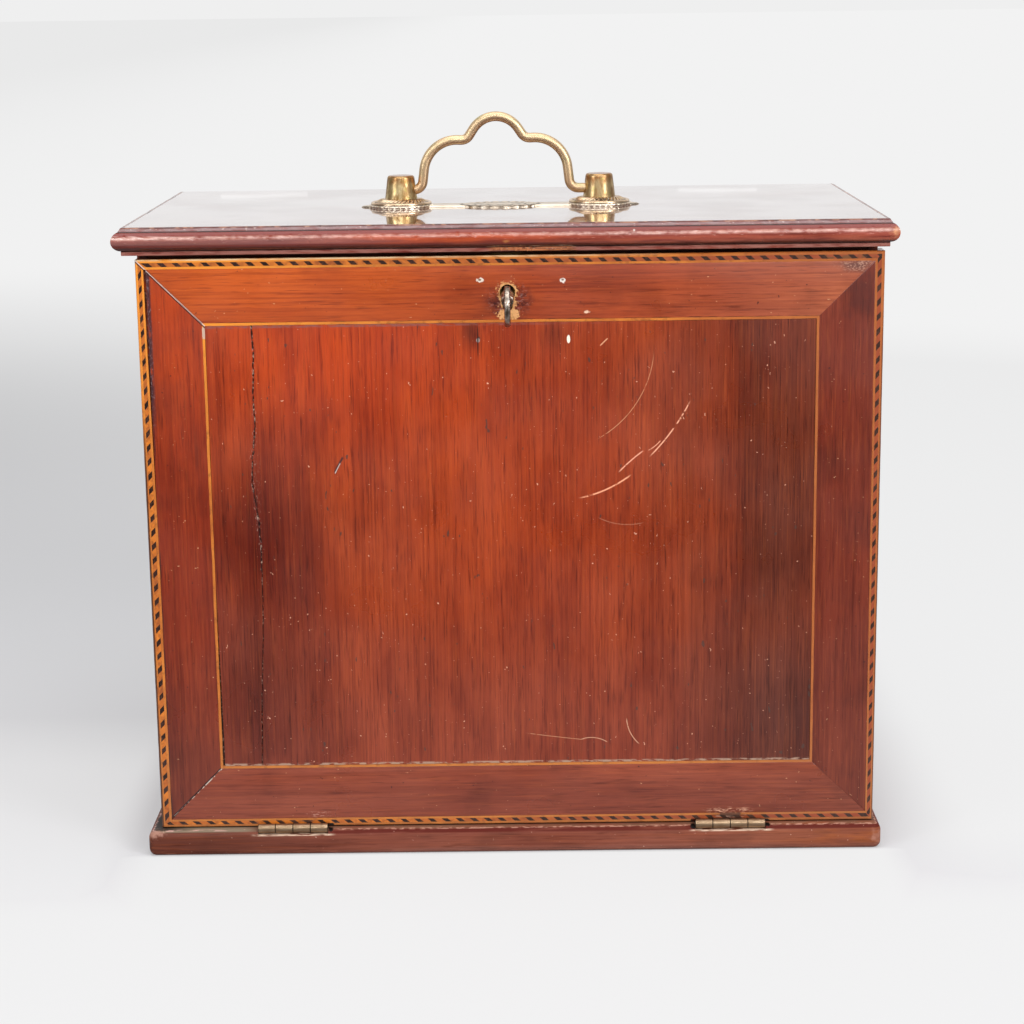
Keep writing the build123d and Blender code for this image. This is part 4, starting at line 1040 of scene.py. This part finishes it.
for j in (0, rows):
    first = len(points)
    for i in range(columns):
        x, y, z = points[j * columns + i]
        points.append((x, field_back_y, z))
    faces += [(j * columns + i, j * columns + i + 1, first + i + 1, first + i) for i in range(columns - 1)]

# French-polished mahogany, upright ribbon grain: orange where it is sound, brown-black on the
# right where the polish has darkened, pale wherever it is scratched through.
panel_wood, tree = new_finish("mahogany_front_panel")
orange_top = patch(tree, (-75, front_y, 250), (135, 60, 95), 1.0, 0.9)
orange_core = patch(tree, (0, front_y, 175), (85, 60, 110), 1.0, 0.5)
dark_left = patch(tree, (-120, front_y, 152), (72, 60, 100), 1.0, 0.95, 0.3, (14, 14, 60))
dark_right = where_all(tree, rising(tree, "X", 35, 125, 0.95),
                       marks(tree, (16, 9, 160), 0.10, 0.52, 1, 86, 3))
hazy_low = rising(tree, "Z", 150, 50, 0.75)
low_corners = where_all(tree, rising(tree, "X", 60, 130, 0.8), rising(tree, "Z", 130, 70))
split_stain = patch(tree, (-122, front_y, 85), (17, 20, 75), 0.9, 0.6, 0.3, (10, 10, 50))
right_bruise = patch(tree, (124, front_y, 145), (22, 20, 60), 0.9, 0.6, 0.4, (5, 5, 40))
key_stain = patch(tree, (-17, front_y, 252), (9, 5, 16), 0.9, 0.65, 0.3, (5, 5, 12))
key_stain_right = patch(tree, (21, front_y, 250), (12, 5, 17), 0.9, 0.5, 0.3, (5, 5, 12))
low_left = patch(tree, (-120, front_y, 70), (62, 60, 85), 1.0, 0.8)
colour, pores = mahogany_grain(tree, "Z", "#a8421a", [
    ("#c4430a", orange_top), ("#b6430f", orange_core), ("#681602", dark_left), ("#6e301c", dark_right),
    ("#934028", hazy_low), ("#6f2c1e", low_left), ("#5f2f22", low_corners), ("#62261a", split_stain),
    ("#5a291d", right_bruise), ("#3f1812", key_stain), ("#54201a", key_stain_right)],
    ribbon=14, fibre=0.9, length=40, seed=80, flecks=0.6, calm=0.8)
dusky = marks(tree, (14, 9, 30), 0.46, 0.66, 0.35, 87, 4)
colour = lay(tree, colour, [("#b88672", dusky)], "MULTIPLY")


def arc_scratch(tree, middle_x, middle_z, radius, width, near, reach, strength):
    """A mask along part of a circle in the front face: the part inside the patch round near."""
    place = add(tree, "TexCoord", {}).outputs["Object"]
    size = 1 / (radius * MM)
    fitted = add(tree, "Mapping", {"Vector": place, "Scale": (size, 0, size),
                                   "Location": (-middle_x / radius, 0, -middle_z / radius)})
    out = add(tree, "VectorMath", {0: fitted.outputs[0]}, operation="LENGTH").outputs["Value"]
    off = add(tree, "Math", {0: out, 1: 1.0}, operation="SUBTRACT").outputs[0]
    off = add(tree, "Math", {0: off}, operation="ABSOLUTE").outputs[0]
    line = add(tree, "MapRange", {"Value": off, "From Min": width / radius, "From Max": 0.3 * width / radius,
                                  "To Max": strength}).outputs[0]
    broken = marks(tree, (2.5, 9, 2.5), 0.28, 0.42, 1, 90, 2)
    return where_all(tree, line, broken, patch(tree, near, reach, 0.25))


# Colour, centre (x, z), radius, width, middle and reach of the part that shows, strength.
scratch_table = [
    ("#c98a63", 16.7, 245.0, 50.3, 0.26, (53, front_y, 222), (20, 9, 29), 0.8),
    ("#f0a987", -6.3, 263.3, 100.6, 0.42, (74, front_y, 205.5), (14, 9, 19), 0.95),
    ("#f2a37c", 20.9, 230.2, 58.4, 0.50, (44, front_y, 178.5), (17, 9, 8.5), 1.0),
    ("#eba182", 112.3, 126.3, 85.2, 0.42, (56.3, front_y, 190), (8.5, 9, 7.6), 0.95),
    ("#e79c7c", 56.5, 210.5, 17.2, 0.34, (67.2, front_y, 197.4), (4.5, 9, 3.4), 0.9),
    ("#d59a74", 115.4, 779.6, 729.2, 0.24, (20, front_y, 56.8), (17, 9, 4), 0.6),
    ("#dba684", 37, 42, 14.0, 0.30, (39.5, front_y, 55.5), (8, 9, 2.8), 0.7),
    ("#dba684", 72, 66, 18.0, 0.34, (55, front_y, 58), (8, 9, 8), 0.7),
    ("#e2a27a", 83, 206, 56.0, 0.40, (43.4, front_y, 246.4), (3.0, 9, 2.6), 0.9),
    ("#c58b6b", 55, 190, 30.0, 0.30, (50, front_y, 160.5), (13, 9, 5), 0.35),
    ("#3b2a2c", 8.3, 141.9, 100.0, 0.75, (-79.3, front_y, 190), (3.4, 9, 5.6), 0.9),
    ("#cdbab2", 8.6, 141.9, 100.0, 0.28, (-80.0, front_y, 188.4), (2.4, 9, 3.4), 0.9),
]
scratches = [(code, arc_scratch(tree, *facts)) for code, *facts in scratch_table]
nicks = marks(tree, (1.5, 9, 1.7), 0.775, 0.80, 0.9, 91, 1)
bruises = marks(tree, (2.4, 9, 5.5), 0.765, 0.79, 0.8, 92, 1)
fine_nicks = marks(tree, (0.9, 9, 1.0), 0.79, 0.82, 0.6, 93, 1)
speck_a = patch(tree, (27.7, front_y, 247.6), (0.9, 2, 2.2), 0.3, 1.0)
speck_b = patch(tree, (-13.8, front_y, 247.5), (1.0, 2, 1.3), 0.4, 0.9)
hair_crack = patch(tree, (-13.9, front_y, 247), (0.45, 2, 10.5), 0.5, 0.85)
outside = rising(tree, "Y", -93.2, -93.8)
top_dust = where_all(tree, outside, rising(tree, "Z", 254.1, 254.7), rising(tree, "X", 80, -60, 0.9),
                     marks(tree, (2.6, 9, 0.9), 0.36, 0.56, 1, 95, 3))
low_dust = where_all(tree, outside, rising(tree, "Z", 45.2, 44.5),
                     marks(tree, (3, 9, 1.0), 0.4, 0.55, 0.85, 96, 3))
colour = lay(tree, colour, scratches + [
    ("#d39a7e", nicks), ("#4c3630", bruises), ("#e2a58c", fine_nicks), ("#f4ead6", speck_a),
    ("#9c9590", speck_b), ("#2b1512", hair_crack), ("#8a5048", top_dust), ("#b0907a", low_dust)])
in_split = between(tree, "Y", -94.85, -94.62, -93.4, -93.0)
on_lips = rising(tree, "Y", -94.99, -95.06)
lip_dust = where_all(tree, on_lips, patch(tree, (-118, front_y, 205), (3, 3, 60), 0.2),
                     marks(tree, (0.6, 9, 1.1), 0.54, 0.66, 0.8, 97, 2))
filler = where_all(tree, in_split, marks(tree, (0.7, 9, 1.1), 0.54, 0.62, 0.8, 98, 2))
colour = lay(tree, colour, [("#2c1512", in_split), ("#b89684", filler), ("#b59080", lip_dust)])
french_polish(tree, colour, pores, 0.26, 0.42, 0.3)

# The body of the panel behind the field keeps its tongues and its pocket for the lock.
field = shaped("front_panel_field", points, faces, panel_wood)
work = bmesh.new()
work.from_mesh(cad["front_panel"].data)
bmesh.ops.remove_doubles(work, verts=work.verts, dist=0.002 * MM)
everything = list(work.verts) + list(work.edges) + list(work.faces)
bmesh.ops.bisect_plane(work, geom=everything, plane_co=(0, field_back_y * MM, 0),
                       plane_no=(0, -1, 0), clear_outer=True)
bmesh.ops.holes_fill(work, edges=[e for e in work.edges if e.is_boundary], sides=0)
work.from_mesh(field.data)
joined = bpy.data.meshes.new("front_panel_split")
work.to_mesh(joined)
work.free()
bpy.data.objects.remove(field)
panel = finished("front_panel_split", joined, panel_wood, 30)
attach(panel, "front")
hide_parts("front_panel")

# ------------------------------------------------------------------------------- boxwood stringing
# Boxwood lines 1.2 mm wide glued in round the panel and levelled with it. Polish has turned
# them orange, and the top left corner was once mended with putty.

stringing_inset, stringing_width = 29.4, 1.2


def ring_run(where, outer, inner):
    """The corners of one mitred side of a ring, as (x, z); outer and inner are insets."""
    first, last = {"bottom": (0, 1), "top": (3, 2), "left": (0, 3), "right": (1, 2)}[where]
    outside, inside = [[(front_x0 + i, front_z0 + i), (front_x1 - i, front_z0 + i),
                        (front_x1 - i, front_z1 - i), (front_x0 + i, front_z1 - i)]
                       for i in (outer, inner)]
    return [outside[first], outside[last], inside[last], inside[first]]


section_points, short_length = 5, 2.0


def line_run(where, outer, inner, proud, deep, wander, gaps=(), ease=0.0):
    """Points and faces of one line of inlay, cut in short lengths so that its edges can wander."""
    (ax, az), (bx, bz), (cx, cz), (dx, dz) = ring_run(where, outer, inner)
    count = int(max(abs(bx - ax), abs(bz - az)) / short_length)
    points, faces = [], []
    for i in range(count + 1):
        t = i / count
        ox, oz = ax + (bx - ax) * t, az + (bz - az) * t
        ix, iz = dx + (cx - dx) * t, dz + (cz - dz) * t
        sway = wander * noise.noise(Vector((ox / 9, oz / 9, outer))) if 0 < i < count else 0.0
        swell = wander * noise.noise(Vector((ox / 5, oz / 5, outer + 3))) if 0 < i < count else 0.0
        ux, uz = (ix - ox), (iz - oz)
        if 0 < i < count:
            ux, uz = (ux, 0) if where in ("left", "right") else (0, uz)
        wide = math.hypot(ux, uz)
        ox, oz = ox + ux / wide * (sway - swell), oz + uz / wide * (sway - swell)
        ix, iz = ix + ux / wide * (sway + swell), iz + uz / wide * (sway + swell)
        ex, ez = ox + ux / wide * ease, oz + uz / wide * ease
        points += [(ox, deep, oz), (ox, front_y - proud + ease, oz), (ex, front_y - proud, ez),
                   (ix, front_y - proud, iz), (ix, deep, iz)]
    around = skin(count + 1, section_points, True)
    for first in range(0, count * section_points, section_points):
        middle = (points[first][0] + points[first + section_points][0]) / 2
        if not any(low < middle < high for low, high in gaps):
            faces += around[first:first + section_points]
    faces += [tuple(range(section_points)), tuple(range(len(points) - section_points, len(points)))[::-1]]
    return points, faces


def joined_runs(name, runs, finish, angle=40):
    """Puts several runs' points and faces together as one piece."""
    points, faces = [], []
    for run_points, run_faces in runs:
        faces += [tuple(len(points) + v for v in face) for face in run_faces]
        points += run_points
    return shaped(name, points, faces, finish, angle)


def thin_polish(tree, colour, rough, **more):
    """The little polish that inlaid wood takes with the front: a thin, slightly dull clear coat."""
    shader = add(tree, "BsdfPrincipled", {"Base Color": colour, "Roughness": rough, "IOR": 1.5,
                                          "Coat Weight": 0.3, "Coat Roughness": 0.1, **more})
    add(tree, "OutputMaterial", {0: shader.outputs[0]})


sides = ("top", "bottom", "left", "right")

# Boxwood under old polish: clear orange-yellow, its fine grain barely seen, darker in patches.
# # Its left and bottom arrises carry painted shade, and its top arris a painted highlight.
line_boxwood, tree = new_finish("boxwood_polished_orange")
aged = marks(tree, 14, 0.36, 0.66, 0.8, 3, 3)
dirty = marks(tree, 3, 0.55, 0.70, 0.6, 5, 3)
colour = lay(tree, srgb("#cf7a2c"), [("#a9581f", aged), ("#7c431f", dirty)])
bright_corner = patch(tree, (-150, front_y, 285), (120, 20, 110), 1.0, 0.9)
worn_right = rising(tree, "X", 40, 150, 0.75)
low_pale = rising(tree, "Z", 80, 20, 0.35)
splintered = patch(tree, (103, front_y, 16.6), (11, 3, 2.8), 0.4, 0.9, 0.5, (2, 2, 1.2))
# Painted shade: black in the gaps at the ends of the hinge barrels.
hinge_gap_shade = [("#140b08", patch(tree, middle, (1.9, 3, 1.5), 0.25, 1.0, 0.4, 1.5))
              for middle in ((-88.0, front_y, 13.8), (85.6, front_y, 13.2), (121.0, front_y, 13.2))]
mended = patch(tree, (-139.5, front_y, 252.5), (2.0, 3, 4.0), 0.3, 0.9, 0.4, 0.9)
# Painted shade on the rounded left arris, low down.
left_arris_shade = where_all(tree, rising(tree, "X", -168.35, -168.8), rising(tree, "Z", 225, 185, 0.9))
right_arris = where_all(tree, rising(tree, "X", 171.1, 171.5), rising(tree, "Z", 275, 235, 0.7))
# Painted shade along the bottom arris, in patches.
low_arris = where_all(tree, rising(tree, "Z", 14.6, 14.0, 0.3), marks(tree, 8, 0.3, 0.5, 1, 8, 3))
# A painted highlight along the front's top arris.
arris_highlight = where_all(tree, rising(tree, "Z", 285.4, 285.9), rising(tree, "X", 90, 0),
                      marks(tree, (12, 6, 6), 0.30, 0.55, 0.8, 11, 3))
colour = lay(tree, colour, [("#f0952f", bright_corner), ("#a2582e", worn_right), ("#b8783f", low_pale),
                            ("#c4aa98", mended), ("#59382c", splintered), ("#3d1d12", left_arris_shade),
                            ("#4a2417", right_arris), ("#6e3a20", low_arris), ("#f3dcae", arris_highlight)]
             + hinge_gap_shade + top_mitre(tree))
fine = marks(tree, 0.5, 0.3, 0.7, 1, 7, 2)
tooth = add(tree, "Bump", {"Height": fine, "Strength": 0.3, "Distance": 0.02 * MM})
thin_polish(tree, colour, 0.34, Normal=tooth.outputs[0])

runs = [line_run(where, stringing_inset, stringing_inset + stringing_width, 0.03, -93.42, 0.07)
        for where in sides]
stringing = joined_runs("boxwood_stringing_lines", runs, line_boxwood)
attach(stringing, "front")
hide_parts("boxwood_stringing")

# ------------------------------------------------------------------------------- rope banding
# A bought-in banding let into the front's edge: slanting blocks of black-stained and pale wood
# between two boxwood lines, so that it looks like twisted rope.

outer_line, block_row = 1.6, 2.05
pitch, dark_width = 6.65, 2.75
banding_back_y = -94.0
gap_half = 16.9             # the outer line stops each side of a hinge's barrel
hinge_gaps = [(x - gap_half, x + gap_half) for x in hinge_middles]
chipped_from, chipped_to = 97.0, 113.0
overrun = 4                 # the blocks start and stop past the corners, where they are mitred off


def clipped(polygon, keeps):
    """The part of a polygon where keeps(point) isn't negative; keeps is linear across it."""
    inside = []
    for a, b in zip(polygon, polygon[1:] + polygon[:1]):
        ka, kb = keeps(a), keeps(b)
        if ka >= 0:
            inside.append(a)
        if (ka < 0) != (kb < 0):
            t = ka / (ka - kb)
            inside.append((a[0] + (b[0] - a[0]) * t, a[1] + (b[1] - a[1]) * t))
    return inside


def block_at(where, start, width):
    """One slanting block of the row, clipped by the mitres at the front's corners."""
    near, far = outer_line, outer_line + block_row
    slant = {"top": 1, "bottom": -1, "left": 1, "right": -1}[where]
    corners = [(start, near), (start + width, near),
               (start + width + slant * block_row, far), (start + slant * block_row, far)]
    if where in ("top", "bottom"):
        edge, hand = (front_z1, -1) if where == "top" else (front_z0, 1)
        polygon = [(s, edge + hand * t) for s, t in corners]
        limits = [lambda p: (p[0] - front_x0) - abs(p[1] - edge),
                  lambda p: (front_x1 - p[0]) - abs(p[1] - edge)]
    else:
        edge, hand = (front_x0, 1) if where == "left" else (front_x1, -1)
        polygon = [(edge + hand * t, s) for s, t in corners]
        limits = [lambda p: (p[1] - front_z0) - abs(p[0] - edge),
                  lambda p: (front_z1 - p[1]) - abs(p[0] - edge)]
    for limit in limits:
        polygon = clipped(polygon, limit)
    return polygon if len(polygon) > 2 else []


def planed(points):
    """Moves points of the banding to where they lie once its sides have been planed narrower."""
    moved = []
    for x, y, z in points:
        new_x, new_z = x, z
        for where, inset, (in_x, in_z) in insets(x, z):
            if inset < rebate + 0.2:
                change = inset * (planed_width(where, x, z) / rebate - 1)
                new_x, new_z = new_x + in_x * change, new_z + in_z * change
        moved.append((new_x, y, new_z))
    return moved


luck = random.Random(41)
dark_runs, pale_runs = [], []
for where in sides:
    low, high = (front_x0, front_x1) if where in ("top", "bottom") else (front_z0, front_z1)
    start, dark = low - overrun + luck.uniform(0, 1.5), True
    while start < high + overrun:
        width = (dark_width if dark else pitch - dark_width) + luck.uniform(-0.12, 0.12)
        outline = block_at(where, start, width)
        middle = start + width / 2
        lifted = luck.uniform(-0.02, 0.04)
        if where == "bottom" and chipped_from < middle < chipped_to:
            lifted = -luck.uniform(0.25, 0.75)
        if outline:
            around = len(outline)
            run_points = [(x, front_y - lifted, z) for x, z in outline]
            run_points += [(x, banding_back_y, z) for x, z in outline]
            run_faces = [tuple(range(around)), tuple(range(around, 2 * around))[::-1]]
            run_faces += [(i, (i + 1) % around, around + (i + 1) % around, around + i) for i in range(around)]
            (dark_runs if dark else pale_runs).append((planed(run_points), run_faces))
        start, dark = start + width, not dark

# Black-stained pear wood under polish: brown-black, greyed where light has got at it.
dark_block_wood, tree = new_finish("pear_wood_stained_black")
each = add(tree, "NewGeometry", {}).outputs["Random Per Island"]
greyed = add(tree, "MapRange", {"Value": each, "From Min": 0.3, "From Max": 1.0, "To Max": 0.55}).outputs[0]
rubbed = marks(tree, 1.2, 0.5, 0.68, 0.5, 5, 3)
hazy_right = rising(tree, "X", -60, 150, 0.3)
colour = lay(tree, srgb("#26110b"), [("#442822", greyed), ("#623a28", rubbed), ("#50352d", hazy_right)])
colour = lay(tree, colour, top_mitre(tree))
thin_polish(tree, colour, 0.36)

# Pale blocks of the banding: boxwood gone deep orange, each piece a shade apart.
pale_block_wood, tree = new_finish("boxwood_blocks_orange")
each = add(tree, "NewGeometry", {}).outputs["Random Per Island"]
redder = add(tree, "MapRange", {"Value": each, "To Max": 0.6}).outputs[0]
dirty = marks(tree, 2.4, 0.45, 0.66, 0.6, 9, 3)
muddied = where_all(tree, patch(tree, (150, front_y, 284), (26, 3, 5), 0.5, 0.8),
                    marks(tree, (3, 3, 2), 0.42, 0.60, 1, 10, 3))
right_red = rising(tree, "X", -60, 130, 0.85)
bright_left = rising(tree, "X", 60, -120, 0.75)
colour = lay(tree, srgb("#b9652a"), [("#e0801f", bright_left), ("#a04e20", redder), ("#7c3c1e", dirty),
                                     ("#964428", right_red), ("#6b4a2c", muddied)] + top_mitre(tree))
chips = patch(tree, (103, front_y, 16.2), (11, 2, 3.6), 0.4, 0.95, 0.4, 2)
torn_pale = where_all(tree, patch(tree, (104, front_y, 16.4), (11, 2, 2.6), 0.3),
                      marks(tree, (5, 2, 0.6), 0.56, 0.62, 0.9, 12, 3))
left_chips = patch(tree, (-99, front_y, 15.8), (6, 2, 2.2), 0.5, 0.8, 0.5, 2)
colour = lay(tree, colour, [("#4a322a", chips), ("#c69a84", torn_pale), ("#4f352c", left_chips)])
thin_polish(tree, colour, 0.36)

line_runs = []
for where in sides:
    gaps = hinge_gaps if where == "bottom" else ()
    outer_points, outer_faces = line_run(where, 0.0, outer_line, 0.02, banding_back_y, 0.05, gaps, 0.45)
    inner_points, inner_faces = line_run(where, outer_line + block_row, rebate, 0.02, banding_back_y, 0.06)
    line_runs += [(planed(outer_points), outer_faces), (planed(inner_points), inner_faces)]
banding_pieces = [
    joined_runs("rope_banding_dark_blocks", dark_runs, dark_block_wood),
    joined_runs("rope_banding_pale_blocks", pale_runs, pale_block_wood),
    joined_runs("rope_banding_lines", line_runs, line_boxwood),
]
for piece in banding_pieces:
    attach(piece, "front")
    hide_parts("rope_banding")

# ------------------------------------------------------------------------------- lock and strike plate
# A cut box lock let into the back of the front, its brass plate flush, with a sliding bolt; the
# strike plate it shoots into is let into the underside of the top.

# Sheet brass, filed and tarnished: dull yellow-brown with file lines across it.
lock_brass, tree = new_finish("brass_sheet_filed")
tarnish = marks(tree, 7, 0.35, 0.65, 0.8, 3, 4)
filed = marks(tree, (9, 0.4, 0.4), 0.4, 0.6, 0.5, 5, 2)
colour = lay(tree, srgb("#b3945a"), [("#7f6438", tarnish), ("#cdb27a", filed)])
bare_metal(tree, colour, tarnish, 0.3, 0.5, filed, 0.4, 0.02)
dressed(lock_brass, "lock_plate", "lock_cap", "lock_bolt", "strike_plate")

# ------------------------------------------------------------------------------- key
# A small forged steel key with an oval bow and two collars, left hanging in the lock. Pockets
# and fingers keep its edges bright; the rest has a brown skin.

# Forged steel, worn bright: mid-grey metal, brown in the hollows, pitted.
key_steel, tree = new_finish("steel_forged_worn")
rust_skin = marks(tree, 1.8, 0.40, 0.62, 0.85, 3, 4)
bright = marks(tree, (1.0, 3, 3), 0.52, 0.62, 0.7, 5, 2)
colour = lay(tree, srgb("#a89a8c"), [("#7c6a5a", rust_skin), ("#d2c9be", bright)])
pits = marks(tree, 0.7, 0.35, 0.65, 1, 6, 3)
bare_metal(tree, colour, rust_skin, 0.24, 0.5, pits, 0.5, 0.03)
dressed(key_steel, "key")

# ------------------------------------------------------------------------------- floor, light and camera
# A plain pale table under the box, softboxes in front, a wide soft light over it and two thin
# strips far behind. The camera stands 1.1 m off and a little above.

table_mesh = bpy.data.meshes.new("table")
reach = 40.0                # half the side of the table, in metres
table_mesh.from_pydata([(-reach, -reach, 0), (reach, -reach, 0), (reach, reach, 0), (-reach, reach, 0)],
                       [], [(0, 1, 2, 3)])
table = bpy.data.objects.new("table", table_mesh)
bpy.context.scene.collection.objects.link(table)

# Matt white paper over the table: pale grey, with the box's soft shadow near it and an even tone far off.
# # Further off, a shadow of the box and shade far to the left are painted into that tone.
paper, tree = new_finish("paper_white_matt")
place = add(tree, "NewGeometry", {}).outputs["Position"]
far = add(tree, "VectorMath", {0: place}, operation="LENGTH").outputs["Value"]
away = add(tree, "MapRange", {"Value": far, "From Min": 0.35, "From Max": 1.8, "To Min": 0.25,
                              "To Max": 1.0}, interpolation_type="SMOOTHSTEP").outputs[0]
lit_right = where_all(tree, rising(tree, "X", 150, 232, 0.88), rising(tree, "Y", -200, -70))
lit_left = where_all(tree, rising(tree, "X", -168, -205, 0.62), rising(tree, "Y", 200, 20))
lit_front = where_all(tree, rising(tree, "Y", front_y, -101.5, 0.85), rising(tree, "X", -215, -165),
                      rising(tree, "X", 200, 172))
lit_near = rising(tree, "Y", -96, -180, 0.85)
for lit in (lit_right, lit_left, lit_front, lit_near):
    away = add(tree, "Math", {0: away, 1: lit}, operation="MAXIMUM").outputs[0]
# A painted shadow of the box, thrown to the left and behind, and painted shade far to the left.
long_shadow = patch(tree, (-800, 950, 0), (1100, 1500, 400), 1.0, 0.62)
far_left_shade = rising(tree, "X", -300, -3000, 0.3)
glow_colour = lay(tree, srgb("#f2f2f2"), [("#b0b0b2", long_shadow), ("#d2d2d2", far_left_shade)])
path = add(tree, "LightPath", {})
seen = add(tree, "Math", {0: path.outputs["Is Camera Ray"], 1: away}, operation="MULTIPLY").outputs[0]
forward = add(tree, "SeparateXYZ", {0: place}).outputs[1]
room = add(tree, "MapRange", {"Value": forward, "From Min": -0.50, "From Max": -0.10,
                              "To Max": 0.6}).outputs[0]
matt = add(tree, "BsdfDiffuse", {"Color": srgb("#d7d7da")})
glow = add(tree, "Emission", {"Color": glow_colour, "Strength": 1.0})
table_seen = add(tree, "MixShader", {0: seen, 1: matt.outputs[0], 2: glow.outputs[0]})
dark_room = add(tree, "Emission", {"Color": srgb("#6a5f58"), "Strength": 0.22})
mirrored = add(tree, "MixShader", {0: room, 1: dark_room.outputs[0], 2: matt.outputs[0]})
shown = add(tree, "MixShader", {0: path.outputs["Is Glossy Ray"], 1: table_seen.outputs[0],
                                2: mirrored.outputs[0]})
add(tree, "OutputMaterial", {0: shown.outputs[0]})
table_mesh.materials.append(paper)

world = bpy.data.worlds.new("studio")
world.use_nodes = True
bpy.context.scene.world = world
tree = world.node_tree
tree.nodes.clear()
direction = add(tree, "TexCoord", {}).outputs["Generated"]
back_side = add(tree, "SeparateXYZ", {0: direction}).outputs[1]
white_wall = add(tree, "MapRange", {"Value": back_side, "From Min": 0.3, "From Max": 0.6,
                                    "To Min": 0.42, "To Max": 1.0}).outputs[0]
path = add(tree, "LightPath", {})
plain = add(tree, "Background", {"Color": srgb("#ffffff"), "Strength": 0.42})
backdrop = add(tree, "Background", {"Color": srgb("#efefef"), "Strength": 1.0})
mirrored = add(tree, "Background", {"Color": srgb("#fbfbfb"), "Strength": white_wall})
bounced = add(tree, "MixShader", {0: path.outputs["Is Glossy Ray"], 1: plain.outputs[0],
                                  2: mirrored.outputs[0]})
seen = add(tree, "MixShader", {0: path.outputs["Is Camera Ray"], 1: bounced.outputs[0],
                               2: backdrop.outputs[0]})
add(tree, "OutputWorld", {0: seen.outputs[0]})


def softbox(name, place, aim, width, height, power):
    """One square soft light at place, turned to face aim; places are in metres."""
    lamp = bpy.data.lights.new(name, "AREA")
    lamp.shape = "RECTANGLE"
    lamp.size, lamp.size_y, lamp.energy = width, height, power
    stand = bpy.data.objects.new(name, lamp)
    bpy.context.scene.collection.objects.link(stand)
    stand.location = place
    stand.rotation_euler = (Vector(aim) - Vector(place)).to_track_quat("-Z", "Y").to_euler()


middle_of_front = (0, -0.05, 0.17)
softbox("softbox_right", (0.99, -1.04, 0.84), middle_of_front, 0.5, 0.6, 10.0)
softbox("softbox_left", (-1.08, -0.88, 0.78), middle_of_front, 0.5, 0.6, 4.5)
softbox("softbox_front", (0.0, -1.35, 0.95), (0, -0.05, 0.2), 1.2, 0.3, 7.0)
softbox("softbox_over", (0.0, -0.25, 1.5), (0, 0, 0.1), 1.3, 1.0, 10.0)
softbox("strip_behind_left", (-0.45, 3.0, 0.55), (0, 0, 0.3), 0.155, 0.0065, 0.0006)
softbox("strip_behind_right", (0.361, 3.0, 0.55), (0, 0, 0.3), 0.141, 0.006, 0.0005)

lens = bpy.data.cameras.new("camera")
lens.sensor_width = 36.0
lens.lens = 80.75
lens.clip_end = 200.0
camera = bpy.data.objects.new("camera", lens)
bpy.context.scene.collection.objects.link(camera)
camera_place = (5.72 * MM, -1139.1 * MM, 403.2 * MM)
heading, tilt, roll = (math.radians(a) for a in (0.272, -12.765, -0.747))
turned = (Matrix.Rotation(heading, 4, "Z") @ Matrix.Rotation(math.pi / 2 + tilt, 4, "X")
          @ Matrix.Rotation(roll, 4, "Z"))
camera.matrix_world = Matrix.Translation(camera_place) @ turned
bpy.context.scene.camera = camera
bpy.context.scene.view_settings.view_transform = "Standard"
